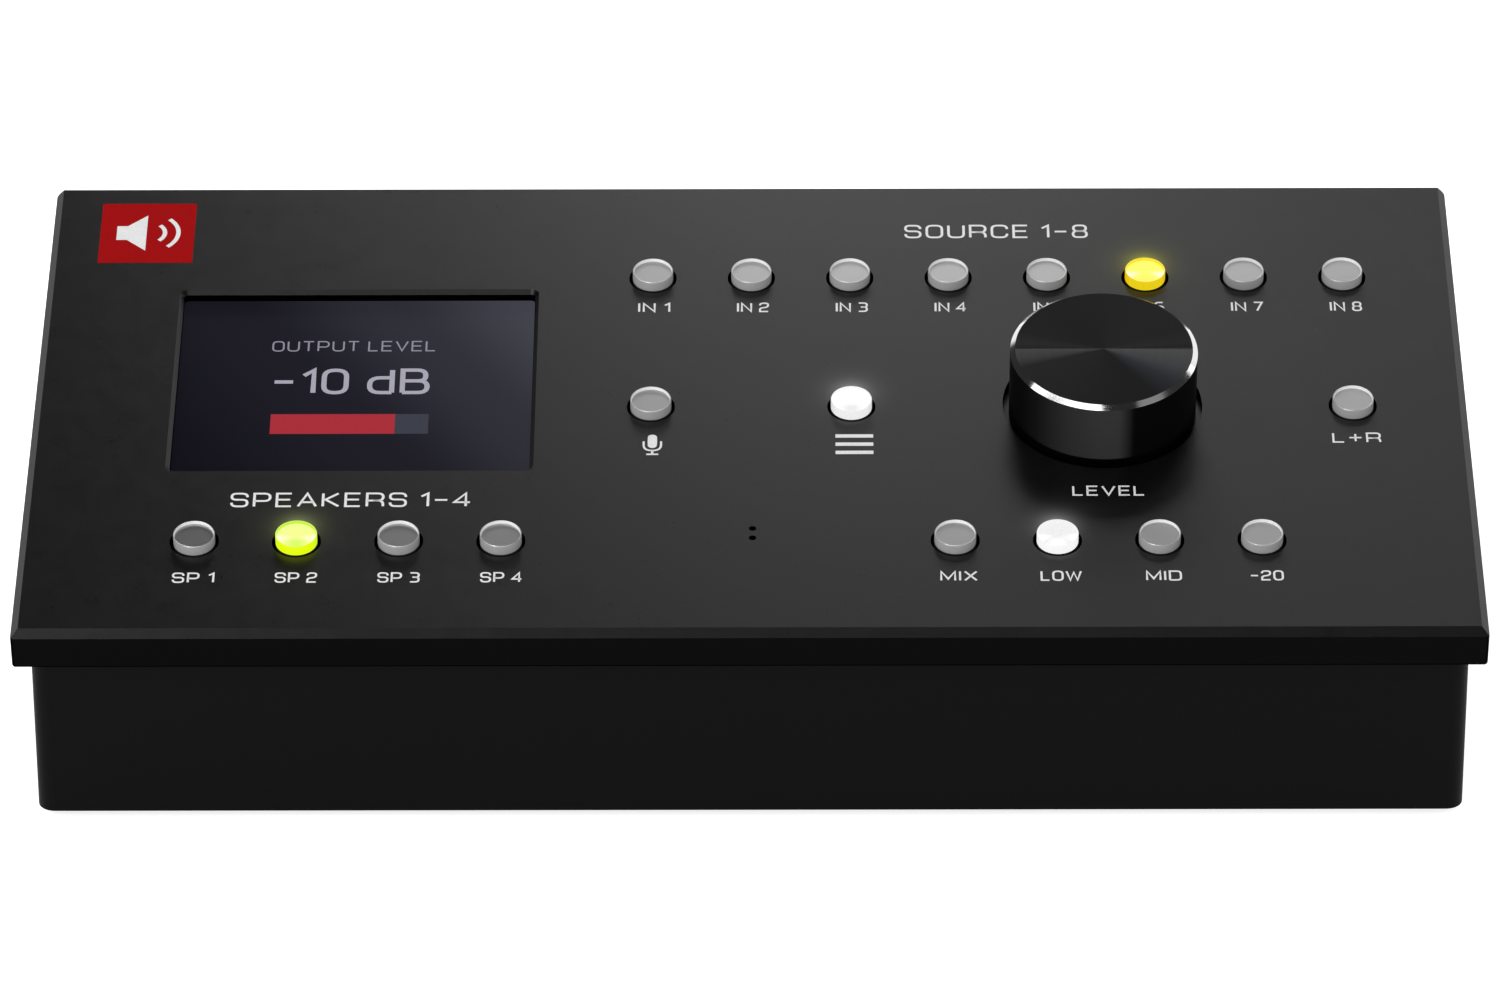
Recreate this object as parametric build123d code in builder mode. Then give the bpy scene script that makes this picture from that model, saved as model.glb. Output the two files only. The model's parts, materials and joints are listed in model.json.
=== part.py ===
from build123d import *
from math import cos, radians, sin, tan
import os

os.makedirs("parts", exist_ok=True)

# A desktop studio monitor controller: a milled, sloping top plate with nineteen
# lit keys, a large volume knob and a display, on a wedge-shaped housing.
# +X runs to the right, +Y to the rear and +Z up, in millimetres and degrees.
# The origin lies on the desk, below the middle of the object's box.

# ---------------------------------------------------------------- driving sizes

# Top plate, measured along its slope
plate_width = 290.0
plate_depth = 142.2
plate_thickness = 9.0
plate_tilt = 10.0
plate_chamfer = 1.5
plate_corner_radius = 0.7
plate_lower_radius = 0.6
plate_skin = 4.0
plate_rim = 14.0
pocket_corner_radius = 4.0

# Housing and base
front_height = 43.9
housing_inset = 3.2
housing_wall = 2.5
housing_inner_radius = 1.0
housing_rib_thickness = 1.5
housing_rib_depth = 2.5
housing_rib_x = (-105.0, -52.0, 52.0, 105.0)
lug_thickness = 4.0
lug_width = 9.0
lug_reach = 4.0
base_thickness = 1.5
base_recess = 0.5
base_gap = 0.2
base_boss_radius = 4.0
base_boss_height = 12.0
base_boss_inset = 3.6
mid_fastener_x = 70.0

# Rubber feet
foot_radius = 7.0
foot_height = 2.7
foot_taper = 12.0
foot_edge_radius = 0.5
foot_inset_x = 24.0
foot_inset_y = 20.0

# Keys: rows and columns keep their distance from the plate's edges or its middle
key_column_x = 0.2
first_column = -1
last_column = 6
last_column_margin = 23.12
monitor_column_margin = 65.2
rear_row_margin = 30.2
middle_row_shift = -1.1
front_row_v = 27.85
key_radius = 4.15
key_gap = 0.75
key_height = 2.3
key_edge_radius = 0.5
key_travel = 0.8
key_wall = 1.0
key_roof = 1.2
key_flange_width = 1.3
key_flange_thickness = 0.8
key_rest_gap = 0.05
key_stem_radius = 1.7
switch_size = 6.0
switch_height = 2.6
switch_floor = 0.6
led_length = 2.0
led_width = 1.25
led_height = 0.8
led_offset = 4.6

# Volume knob and its rotary encoder
knob_margin = 73.75
knob_shift = -0.6
knob_radius = 18.9
knob_rim_height = 13.7
knob_bevel_rise = 0.8
knob_bevel_width = 1.0
knob_gap = 1.3
knob_recess_depth = 2.0
knob_floor_gap = 0.5
knob_roof = 2.4
knob_wall = 2.5
set_screw_height = 6.5
set_screw_length = 6.0
nut_flats = 10.0
nut_thickness = 2.0
nut_clearance = 1.2
washer_radius = 6.0
washer_thickness = 0.5
bushing_radius = 3.5
bushing_length = 5.6
shaft_radius = 3.0
shaft_flat_depth = 1.5
shaft_collar_radius = 4.6
shaft_collar_thickness = 1.0
encoder_width = 12.4
encoder_depth = 13.2
encoder_roof = 1.2

# Display
window_margin = 64.6
window_shift = 8.1
window_width = 72.2
window_height = 57.0
window_corner_radius = 0.9
window_bevel = 0.85
glass_drop = 2.4
glass_thickness = 1.1
glass_ledge = 1.6
glass_gap = 0.1
gasket_width = 1.3
lcd_side_margin = 0.75
lcd_end_margin = 1.85
lcd_thickness = 3.2
lcd_wall = 0.4
flex_width = 16.0
flex_thickness = 0.3
flex_reach = 3.5
flex_bend = 0.8
flex_rise = 1.0
flex_connector_width = 18.0
flex_connector_depth = 3.0
flex_connector_height = 1.0
pad_margin = 8.0

# Boards
board_thickness = 1.6
board_gap = 0.5
board_boss_radius = 3.6
board_boss_inset = 3.0
board_screw_x = (-31.0, 30.0)
main_board_width = 92.0
main_board_depth = 60.0
standoff_height = 5.0
standoff_flats = 5.5
standoff_pilot_radius = 2.1
standoff_inset = 4.5
chip_size = 14.0
chip_height = 1.2
driver_chip_size = 7.0
driver_chip_x = (-5.0, 50.0)
driver_chip_margin = 50.2

# Ribbon between the boards
ribbon_x = -33.0
ribbon_width = 20.3
ribbon_thickness = 0.9
ribbon_main_margin = 31.0
ribbon_control_margin = 54.2
ribbon_straight = 9.0
ribbon_bend = 7.0
header_length = 23.0
header_width = 6.0
header_height = 6.5

# Talkback microphone behind its two holes
mic_x = 0.55
mic_v = 30.2
mic_hole_radius = 0.73
mic_hole_pitch = 2.9
mic_radius = 3.0
mic_height = 2.7
mic_boot_wall = 1.4
mic_boot_lip = 0.5

# USB type B socket in the rear wall
usb_x = 0.0
usb_width = 12.0
usb_height = 11.0
usb_length = 16.0
usb_mouth_width = 8.45
usb_mouth_height = 7.8
usb_mouth_chamfer = 1.6
usb_mouth_depth = 12.5
usb_tongue_width = 5.6
usb_tongue_height = 3.2
usb_tongue_length = 8.2
usb_wall_gap = 0.3

# M3 fasteners
screw_radius = 1.5
screw_head_radius = 2.8
screw_head_height = 2.0
screw_socket_radius = 1.2
screw_socket_depth = 1.2
screw_sink_slope = 41.0
screw_hole_gap = 0.2
thread_gap = 0.02
thread_depth = 5.0
screw_grip_depth = 4.3
base_screw_length = 8.0
panel_screw_inset = 9.8
side_screw_v = 32.0
running_gap = 0.05

# ------------------------------------------------------------ planes and levels

tilt = radians(plate_tilt)
plate_run = plate_depth * cos(tilt)
plate_rise = plate_depth * sin(tilt)
lower_edge_shift = plate_thickness * sin(tilt)
box_front = plate_chamfer * sin(tilt)
box_rear = plate_run + lower_edge_shift - plate_lower_radius * (cos(tilt) + sin(tilt) - 1)
plate_front_y = -(box_front + box_rear) / 2
housing_bottom_z = foot_height - base_recess
plate_front_z = housing_bottom_z + front_height

# The plate's plane starts at its front upper edge: x to the right, y up the slope
plate_plane = Plane(
    origin=(0, plate_front_y, plate_front_z),
    x_dir=(1, 0, 0),
    z_dir=(0, -sin(tilt), cos(tilt)),
)
plate_axis = Axis(plate_plane.origin, plate_plane.z_dir)
plate_underside = plate_plane.offset(-plate_thickness)
skin_underside = plate_plane.offset(-plate_skin)
board_underside = plate_underside.offset(-board_thickness)
pocket_height = plate_thickness - plate_skin


def section_at(x, v):
    """An upright plane through a point of the plate, its y along the plate's normal."""
    return Plane(
        origin=plate_plane.from_local_coords((x, v, 0)),
        x_dir=(1, 0, 0),
        z_dir=(0, -cos(tilt), -sin(tilt)),
    )


# Housing footprint
housing_front_y = plate_front_y + lower_edge_shift + housing_inset
housing_rear_y = plate_front_y + plate_run + lower_edge_shift - housing_inset
housing_width = plate_width - 2 * housing_inset
housing_depth = housing_rear_y - housing_front_y
housing_mid_y = (housing_front_y + housing_rear_y) / 2
cavity_width = housing_width - 2 * housing_wall
cavity_depth = housing_depth - 2 * housing_wall
cavity_front_y = housing_front_y + housing_wall
cavity_rear_y = housing_rear_y - housing_wall
housing_outer_radius = housing_inner_radius + housing_wall
base_bottom_z = foot_height
base_top_z = base_bottom_z + base_thickness

# Layout of the plate: keys, knob and display
key_pitch = (plate_width / 2 - last_column_margin - key_column_x) / last_column
monitor_column_x = monitor_column_margin - plate_width / 2
rear_row_v = plate_depth - rear_row_margin
middle_row_v = plate_depth / 2 + middle_row_shift
knob_x = plate_width / 2 - knob_margin
knob_v = plate_depth / 2 + knob_shift
window_x = window_margin - plate_width / 2
window_v = plate_depth / 2 + window_shift
glass_width = window_width + 2 * glass_ledge
glass_height = window_height + 2 * glass_ledge
lcd_width = glass_width + 2 * lcd_side_margin
lcd_height = glass_height + 2 * lcd_end_margin
driver_chip_v = plate_depth - driver_chip_margin
ribbon_control_v = plate_depth - ribbon_control_margin
ribbon_main_y = cavity_rear_y - ribbon_main_margin

# Key places, as node name and point on the plate
key_points = {}
for number, column in enumerate(range(first_column, last_column + 1)):
    key_points[f"input_key_{number + 1}"] = (key_column_x + column * key_pitch, rear_row_v)
for number in range(4):
    key_points[f"output_key_{number + 1}"] = (
        monitor_column_x + (number - 1.5) * key_pitch,
        front_row_v,
    )
key_points["talkback_key"] = (key_column_x + first_column * key_pitch, middle_row_v)
key_points["menu_key"] = (key_column_x + key_pitch, middle_row_v)
key_points["mono_key"] = (key_column_x + last_column * key_pitch, middle_row_v)
for column, key_name in enumerate(("sum_key", "sub_key", "mid_side_key", "dim_key")):
    key_points[key_name] = (key_column_x + (column + 2) * key_pitch, front_row_v)
key_places = list(key_points.values())

# Pocket and control board
pocket_width = plate_width - 2 * plate_rim
pocket_depth = plate_depth - 2 * plate_rim
board_width = pocket_width - 2 * board_gap
board_depth = pocket_depth - 2 * board_gap
board_screw_columns = (
    -(pocket_width / 2 - board_boss_inset),
    *board_screw_x,
    pocket_width / 2 - board_boss_inset,
)
board_screw_rows = (plate_rim + board_boss_inset, plate_depth - plate_rim - board_boss_inset)
board_screw_points = [(x, v) for x in board_screw_columns for v in board_screw_rows]

# Screws that hold the plate on the housing's lugs
side_screw_x = plate_width / 2 - panel_screw_inset
side_lug_points = [
    (side * side_screw_x, v) for side in (-1, 1) for v in (side_screw_v, plate_depth - side_screw_v)
]
edge_lug_points = [
    (side * mid_fastener_x, v)
    for side in (-1, 1)
    for v in (panel_screw_inset, plate_depth - panel_screw_inset)
]
panel_screw_points = side_lug_points + edge_lug_points

# Screws that hold the base on the housing's bosses
boss_x = cavity_width / 2 - base_boss_inset
boss_front_y = cavity_front_y + base_boss_inset
boss_rear_y = cavity_rear_y - base_boss_inset
base_screw_points = [
    (x, y)
    for x in (-boss_x, -mid_fastener_x, mid_fastener_x, boss_x)
    for y in (boss_front_y, boss_rear_y)
]

# Main board on the base
main_board_bottom_z = base_top_z + standoff_height
main_board_top_z = main_board_bottom_z + board_thickness
main_board_rear_y = cavity_rear_y - board_gap
main_board_mid_y = main_board_rear_y - main_board_depth / 2
standoff_points = [
    (usb_x + side * (main_board_width / 2 - standoff_inset), main_board_mid_y + end)
    for side in (-1, 1)
    for end in (
        -(main_board_depth / 2 - standoff_inset),
        main_board_depth / 2 - standoff_inset,
    )
]

# ------------------------------------------------------------------- top plate

recess_radius = knob_radius + knob_gap
bevel_planes = [
    Plane(
        origin=plate_plane.from_local_coords((edge_x, edge_v, -plate_chamfer)),
        z_dir=plate_plane.x_dir * outward_x + plate_plane.y_dir * outward_v + plate_plane.z_dir,
    )
    for edge_x, edge_v, outward_x, outward_v in (
        (0, 0, 0, -1),
        (-plate_width / 2, plate_depth / 2, -1, 0),
        (plate_width / 2, plate_depth / 2, 1, 0),
    )
]

with BuildPart() as top_panel:
    with BuildSketch(plate_plane):
        with Locations((0, plate_depth / 2)):
            RectangleRounded(plate_width, plate_depth, plate_corner_radius)
    extrude(amount=-plate_thickness)
    fillet(top_panel.faces().sort_by(plate_axis)[0].edges(), plate_lower_radius)
    # Flats milled along the front and both sides; the rear edge stays square
    for flat in bevel_planes:
        split(bisect_by=flat, keep=Keep.BOTTOM)
    # Milled pocket below, with a boss left standing at each board screw
    with BuildSketch(plate_underside):
        with Locations((0, plate_depth / 2)):
            RectangleRounded(pocket_width, pocket_depth, pocket_corner_radius)
        with Locations(*board_screw_points):
            Circle(board_boss_radius, mode=Mode.SUBTRACT)
    extrude(amount=pocket_height, mode=Mode.SUBTRACT)
    # Key holes and the encoder's hole
    with BuildSketch(plate_plane):
        with Locations(*key_places):
            Circle(key_radius + key_gap)
        with Locations((knob_x, knob_v)):
            Circle(bushing_radius + running_gap)
        with Locations((mic_x, mic_v)):
            with GridLocations(0, mic_hole_pitch, 1, 2):
                Circle(mic_hole_radius)
    extrude(amount=-plate_skin, mode=Mode.SUBTRACT)
    # Round recess that the knob stands in
    with BuildSketch(plate_plane):
        with Locations((knob_x, knob_v)):
            Circle(recess_radius)
    extrude(amount=-knob_recess_depth, mode=Mode.SUBTRACT)
    # Bevelled display opening, and the seat of its glass from below
    with BuildSketch(plate_plane):
        with Locations((window_x, window_v)):
            RectangleRounded(
                window_width + 2 * window_bevel,
                window_height + 2 * window_bevel,
                window_corner_radius + window_bevel,
            )
    extrude(amount=-window_bevel, taper=45, mode=Mode.SUBTRACT)
    with BuildSketch(plate_plane):
        with Locations((window_x, window_v)):
            RectangleRounded(window_width, window_height, window_corner_radius)
    extrude(amount=-plate_skin, mode=Mode.SUBTRACT)
    with BuildSketch(skin_underside):
        with Locations((window_x, window_v)):
            Rectangle(glass_width + 2 * glass_gap, glass_height + 2 * glass_gap)
    extrude(amount=plate_skin - glass_drop, mode=Mode.SUBTRACT)
    # Tapped holes for the plate's and the control board's screws
    with BuildSketch(plate_underside):
        with Locations(*panel_screw_points):
            Circle(screw_radius + thread_gap)
        with Locations(*board_screw_points):
            Circle(screw_radius + thread_gap)
    extrude(amount=thread_depth, mode=Mode.SUBTRACT)
top_panel.part.label = "top_panel"
export_step(top_panel.part, "parts/top_panel.step")

# --------------------------------------------------------------------- housing

wall_middle = housing_inset + housing_wall / 2
side_lug_length = panel_screw_inset - wall_middle + lug_reach
side_lug_x = plate_width / 2 - wall_middle - side_lug_length / 2
edge_wall_v = wall_middle / cos(tilt)
edge_lug_length = panel_screw_inset - edge_wall_v + lug_reach
edge_lug_v = edge_wall_v + edge_lug_length / 2
usb_centre_z = main_board_top_z + usb_height / 2

with BuildPart() as housing_shell:
    # Upright walls with rounded corners, cut off along the plate's underside
    with BuildSketch(Plane.XY.offset(housing_bottom_z)):
        with Locations((0, housing_mid_y)):
            RectangleRounded(housing_width, housing_depth, housing_outer_radius)
            RectangleRounded(
                cavity_width, cavity_depth, housing_inner_radius, mode=Mode.SUBTRACT
            )
        # Stiffening ribs on the long walls
        for rib_x in housing_rib_x:
            for rib_y in (
                cavity_front_y + housing_rib_depth / 2,
                cavity_rear_y - housing_rib_depth / 2,
            ):
                with Locations((rib_x, rib_y)):
                    Rectangle(housing_rib_thickness, housing_rib_depth)
    extrude(amount=plate_front_z + plate_rise)
    # The base plate lies between the walls, below the ribs
    with BuildSketch(Plane.XY.offset(housing_bottom_z)):
        with Locations((0, housing_mid_y)):
            RectangleRounded(cavity_width, cavity_depth, housing_inner_radius)
    extrude(amount=base_top_z - housing_bottom_z, mode=Mode.SUBTRACT)
    split(bisect_by=plate_underside, keep=Keep.BOTTOM)
    # Lugs under the plate, for its screws
    with BuildSketch(plate_underside):
        for side in (-1, 1):
            for v in (side_screw_v, plate_depth - side_screw_v):
                with Locations((side * side_lug_x, v)):
                    Rectangle(side_lug_length, lug_width)
            for v in (edge_lug_v, plate_depth - edge_lug_v):
                with Locations((side * mid_fastener_x, v)):
                    Rectangle(lug_width, edge_lug_length)
    extrude(amount=-lug_thickness)
    with BuildSketch(plate_underside):
        with Locations(*panel_screw_points):
            Circle(screw_radius + screw_hole_gap)
    extrude(amount=-lug_thickness, mode=Mode.SUBTRACT)
    # Bosses on the base, bored for its screws
    with BuildSketch(Plane.XY.offset(base_top_z)):
        with Locations(*base_screw_points):
            Circle(base_boss_radius)
    extrude(amount=base_boss_height)
    with BuildSketch(Plane.XY.offset(base_top_z)):
        with Locations(*base_screw_points):
            Circle(screw_radius + thread_gap)
    extrude(amount=base_boss_height - housing_wall, mode=Mode.SUBTRACT)
    # Opening for the USB socket
    with BuildSketch(Plane.XZ.offset(-cavity_rear_y)):
        with Locations((usb_x, usb_centre_z)):
            Rectangle(usb_width + 2 * usb_wall_gap, usb_height + 2 * usb_wall_gap)
    extrude(amount=-housing_wall, mode=Mode.SUBTRACT)
housing_shell.part.label = "housing_shell"
export_step(housing_shell.part, "parts/housing_shell.step")

# ------------------------------------------------------------------- base plate

base_underneath = Plane(origin=(0, 0, base_bottom_z), x_dir=(1, 0, 0), z_dir=(0, 0, -1))

with BuildPart() as base_plate:
    with BuildSketch(Plane.XY.offset(base_bottom_z)):
        with Locations((0, housing_mid_y)):
            RectangleRounded(
                cavity_width - 2 * base_gap,
                cavity_depth - 2 * base_gap,
                housing_inner_radius,
            )
        with Locations(*standoff_points):
            Circle(standoff_pilot_radius + thread_gap, mode=Mode.SUBTRACT)
    extrude(amount=base_thickness)
    with Locations(*[base_underneath.location * Location((x, -y, 0)) for x, y in base_screw_points]):
        CounterSinkHole(
            radius=screw_radius + screw_hole_gap,
            counter_sink_radius=screw_head_radius,
            counter_sink_angle=2 * screw_sink_slope,
        )
base_plate.part.label = "base_plate"
export_step(base_plate.part, "parts/base_plate.step")

# ------------------------------------------------------------------ rubber feet

foot_x = housing_width / 2 - foot_inset_x
foot_places = {
    "foot_front_left": (-foot_x, housing_front_y + foot_inset_y),
    "foot_front_right": (foot_x, housing_front_y + foot_inset_y),
    "foot_rear_left": (-foot_x, housing_rear_y - foot_inset_y),
    "foot_rear_right": (foot_x, housing_rear_y - foot_inset_y),
}
for foot_name, foot_place in foot_places.items():
    with BuildPart() as foot:
        with BuildSketch(Plane.XY.offset(base_bottom_z)):
            with Locations(foot_place):
                Circle(foot_radius)
        extrude(amount=-foot_height, taper=foot_taper)
        fillet(foot.faces().sort_by(Axis.Z)[0].edges(), foot_edge_radius)
    foot.part.label = foot_name
    export_step(foot.part, f"parts/{foot_name}.step")

# ------------------------------------------------------------------------ keys

flange_bottom = plate_skin + key_rest_gap + key_flange_thickness
stem_end = plate_thickness - switch_floor - key_travel - key_rest_gap

for key_name, key_place in key_points.items():
    with BuildPart() as key:
        # Round cap, rounded over at its upper edge
        with BuildSketch(plate_plane.offset(-flange_bottom)):
            with Locations(key_place):
                Circle(key_radius)
        extrude(amount=flange_bottom + key_height)
        fillet(key.faces().sort_by(plate_axis)[-1].edges(), key_edge_radius)
        # Flange that stops it under the plate
        with BuildSketch(plate_plane.offset(-flange_bottom)):
            with Locations(key_place):
                Circle(key_radius + key_flange_width)
        extrude(amount=key_flange_thickness)
        # Hollow round the stem, where the lamp's light enters
        with BuildSketch(plate_plane.offset(-flange_bottom)):
            with Locations(key_place):
                Circle(key_radius - key_wall)
                Circle(key_stem_radius, mode=Mode.SUBTRACT)
        extrude(amount=flange_bottom + key_height - key_roof, mode=Mode.SUBTRACT)
        # Stem down into the switch
        with BuildSketch(plate_plane.offset(-stem_end)):
            with Locations(key_place):
                Circle(key_stem_radius)
        extrude(amount=stem_end - flange_bottom)
    key.part.label = key_name
    export_step(key.part, f"parts/{key_name}.step")

# -------------------------------------------------------- switches and key lamps

with BuildPart() as key_switches:
    with BuildSketch(plate_underside):
        with Locations(*key_places):
            Rectangle(switch_size, switch_size)
    extrude(amount=switch_height)
    with BuildSketch(plate_underside.offset(switch_floor)):
        with Locations(*key_places):
            Circle(key_stem_radius + running_gap)
    extrude(amount=switch_height - switch_floor, mode=Mode.SUBTRACT)
key_switches.part.label = "key_switches"
export_step(key_switches.part, "parts/key_switches.step")

with BuildPart() as key_lamps:
    with BuildSketch(plate_underside):
        with Locations(*[(x, v + led_offset) for x, v in key_places]):
            Rectangle(led_length, led_width)
    extrude(amount=led_height)
key_lamps.part.label = "key_lamps"
export_step(key_lamps.part, "parts/key_lamps.step")

# ---------------------------------------------------------------- control board

with BuildPart() as control_board:
    with BuildSketch(plate_underside):
        with Locations((0, plate_depth / 2)):
            RectangleRounded(board_width, board_depth, pocket_corner_radius)
        with Locations(*board_screw_points):
            Circle(screw_radius + screw_hole_gap, mode=Mode.SUBTRACT)
    extrude(amount=-board_thickness)
control_board.part.label = "control_board"
export_step(control_board.part, "parts/control_board.step")

with BuildPart() as driver_chips:
    with BuildSketch(board_underside):
        with Locations(*[(x, driver_chip_v) for x in driver_chip_x]):
            Rectangle(driver_chip_size, driver_chip_size)
    extrude(amount=-chip_height)
driver_chips.part.label = "driver_chips"
export_step(driver_chips.part, "parts/driver_chips.step")

# ---------------------------------------------------------------------- encoder

knob_plane = Plane(
    origin=plate_plane.from_local_coords((knob_x, knob_v, 0)),
    x_dir=plate_plane.x_dir,
    z_dir=plate_plane.z_dir,
)
knob_axis = Axis(knob_plane.origin, knob_plane.z_dir)
bushing_top = bushing_length - plate_skin
set_screw_plane = Plane(
    origin=plate_plane.from_local_coords((knob_x, knob_v, set_screw_height)),
    x_dir=(1, 0, 0),
    z_dir=(0, cos(tilt), sin(tilt)),
)
knob_top = knob_rim_height + knob_bevel_rise
shaft_end = knob_top - knob_roof - knob_floor_gap

with BuildPart() as encoder_body:
    with BuildSketch(knob_plane.offset(-plate_skin)):
        Rectangle(encoder_width, encoder_depth)
    extrude(amount=-pocket_height)
    with BuildSketch(knob_plane.offset(-plate_skin)):
        Circle(bushing_radius)
    extrude(amount=bushing_length)
    # Bore for the shaft, and the chamber of its collar
    with BuildSketch(knob_plane.offset(bushing_top)):
        Circle(shaft_radius + running_gap)
    extrude(amount=-(bushing_length + encoder_roof), mode=Mode.SUBTRACT)
    with BuildSketch(knob_plane.offset(-(plate_skin + encoder_roof))):
        Circle(shaft_collar_radius + running_gap)
    extrude(amount=-2 * shaft_collar_thickness, mode=Mode.SUBTRACT)
encoder_body.part.label = "encoder_body"
export_step(encoder_body.part, "parts/encoder_body.step")

with BuildPart() as encoder_washer:
    with BuildSketch(knob_plane.offset(-knob_recess_depth)):
        Circle(washer_radius)
        Circle(bushing_radius + running_gap, mode=Mode.SUBTRACT)
    extrude(amount=washer_thickness)
encoder_washer.part.label = "encoder_washer"
export_step(encoder_washer.part, "parts/encoder_washer.step")

with BuildPart() as encoder_nut:
    with BuildSketch(knob_plane.offset(washer_thickness - knob_recess_depth)):
        RegularPolygon(nut_flats / 2, 6, major_radius=False)
        Circle(bushing_radius + thread_gap, mode=Mode.SUBTRACT)
    extrude(amount=nut_thickness)
encoder_nut.part.label = "encoder_nut"
export_step(encoder_nut.part, "parts/encoder_nut.step")

with BuildPart() as encoder_shaft:
    with BuildSketch(knob_plane.offset(shaft_end)):
        Circle(shaft_radius)
    extrude(amount=-(shaft_end + plate_skin + encoder_roof + shaft_collar_thickness))
    with BuildSketch(knob_plane.offset(-(plate_skin + encoder_roof + running_gap))):
        Circle(shaft_collar_radius)
    extrude(amount=-shaft_collar_thickness)
    # Flat on the part that the knob grips
    with BuildSketch(knob_plane.offset(bushing_top + running_gap)):
        with Locations((0, 2 * shaft_radius - shaft_flat_depth)):
            Rectangle(2 * shaft_radius, 2 * shaft_radius)
    extrude(amount=shaft_end, mode=Mode.SUBTRACT)
encoder_shaft.part.label = "encoder_shaft"
export_step(encoder_shaft.part, "parts/encoder_shaft.step")

# ------------------------------------------------------------------ volume knob

knob_base = knob_floor_gap - knob_recess_depth
knob_ceiling = knob_top - knob_roof
hub_base = bushing_top + knob_floor_gap
hub_radius = nut_flats / 2 + 2 * nut_clearance
bore_flat_v = shaft_radius - shaft_flat_depth + thread_gap

with BuildPart() as volume_knob:
    # Turned outside with a bevelled rim, hollow below round a hub
    with BuildSketch(section_at(knob_x, knob_v)):
        with BuildLine():
            Polyline(
                (0, hub_base),
                (hub_radius, hub_base),
                (hub_radius, knob_ceiling),
                (knob_radius - knob_wall, knob_ceiling),
                (knob_radius - knob_wall, knob_base),
                (knob_radius, knob_base),
                (knob_radius, knob_rim_height),
                (knob_radius - knob_bevel_width, knob_top),
                (0, knob_top),
                close=True,
            )
        make_face()
    revolve(axis=knob_axis)
    # Bore with a flat, to match the shaft
    with BuildSketch(knob_plane.offset(hub_base)):
        Circle(shaft_radius + thread_gap)
        with Locations((0, bore_flat_v + shaft_radius)):
            Rectangle(4 * shaft_radius, 2 * shaft_radius, mode=Mode.SUBTRACT)
    extrude(amount=knob_ceiling - hub_base, mode=Mode.SUBTRACT)
    # Tapped hole for the set screw, reached through the side of the knob
    with BuildSketch(set_screw_plane):
        Circle(screw_radius + thread_gap)
    extrude(amount=knob_radius + set_screw_length, mode=Mode.SUBTRACT)
volume_knob.part.label = "volume_knob"
export_step(volume_knob.part, "parts/volume_knob.step")

with BuildPart() as knob_set_screw:
    with BuildSketch(set_screw_plane.offset(shaft_radius - shaft_flat_depth)):
        Circle(screw_radius)
    extrude(amount=set_screw_length)
    with BuildSketch(set_screw_plane.offset(shaft_radius - shaft_flat_depth + set_screw_length)):
        RegularPolygon(screw_socket_radius, 6)
    extrude(amount=-screw_socket_depth, mode=Mode.SUBTRACT)
knob_set_screw.part.label = "knob_set_screw"
export_step(knob_set_screw.part, "parts/knob_set_screw.step")

# ---------------------------------------------------------------------- display

glass_back = glass_drop + glass_thickness
lcd_inner_width = lcd_width - 2 * lcd_wall
lcd_inner_height = lcd_height - 2 * lcd_wall

with BuildPart() as display_window:
    with BuildSketch(plate_plane.offset(-glass_drop)):
        with Locations((window_x, window_v)):
            Rectangle(glass_width, glass_height)
    extrude(amount=-glass_thickness)
display_window.part.label = "display_window"
export_step(display_window.part, "parts/display_window.step")

with BuildPart() as window_gasket:
    with BuildSketch(plate_plane.offset(-glass_back)):
        with Locations((window_x, window_v)):
            Rectangle(glass_width, glass_height)
            Rectangle(
                glass_width - 2 * gasket_width,
                glass_height - 2 * gasket_width,
                mode=Mode.SUBTRACT,
            )
    extrude(amount=glass_back - plate_skin)
window_gasket.part.label = "window_gasket"
export_step(window_gasket.part, "parts/window_gasket.step")

with BuildPart() as lcd_frame:
    # Folded metal tray, open at the back and windowed at the front
    with BuildSketch(skin_underside):
        with Locations((window_x, window_v)):
            Rectangle(lcd_width, lcd_height)
    extrude(amount=-lcd_thickness)
    with BuildSketch(skin_underside.offset(-lcd_wall)):
        with Locations((window_x, window_v)):
            Rectangle(lcd_inner_width, lcd_inner_height)
    extrude(amount=-(lcd_thickness - lcd_wall), mode=Mode.SUBTRACT)
    with BuildSketch(skin_underside):
        with Locations((window_x, window_v)):
            Rectangle(
                glass_width - 2 * gasket_width,
                glass_height - 2 * gasket_width,
            )
    extrude(amount=-lcd_wall, mode=Mode.SUBTRACT)
    # Slot for the flexible lead
    with BuildSketch(skin_underside.offset(-(lcd_thickness - 2 * flex_rise))):
        with Locations((window_x, window_v - lcd_height / 2)):
            Rectangle(flex_width + flex_rise, 2 * lcd_wall + glass_gap)
    extrude(amount=-2 * flex_rise, mode=Mode.SUBTRACT)
lcd_frame.part.label = "lcd_frame"
export_step(lcd_frame.part, "parts/lcd_frame.step")

with BuildPart() as lcd_panel:
    with BuildSketch(skin_underside.offset(-lcd_wall)):
        with Locations((window_x, window_v)):
            Rectangle(lcd_inner_width - glass_gap, lcd_inner_height - glass_gap)
    extrude(amount=-(lcd_thickness - lcd_wall))
    # Front layer, bonded to the glass through the gasket and the frame
    with BuildSketch(plate_plane.offset(-glass_back)):
        with Locations((window_x, window_v)):
            Rectangle(
                glass_width - 2 * gasket_width - 2 * glass_gap,
                glass_height - 2 * gasket_width - 2 * glass_gap,
            )
    extrude(amount=-(plate_skin + lcd_wall - glass_back))
lcd_panel.part.label = "lcd_panel"
export_step(lcd_panel.part, "parts/lcd_panel.step")

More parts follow.
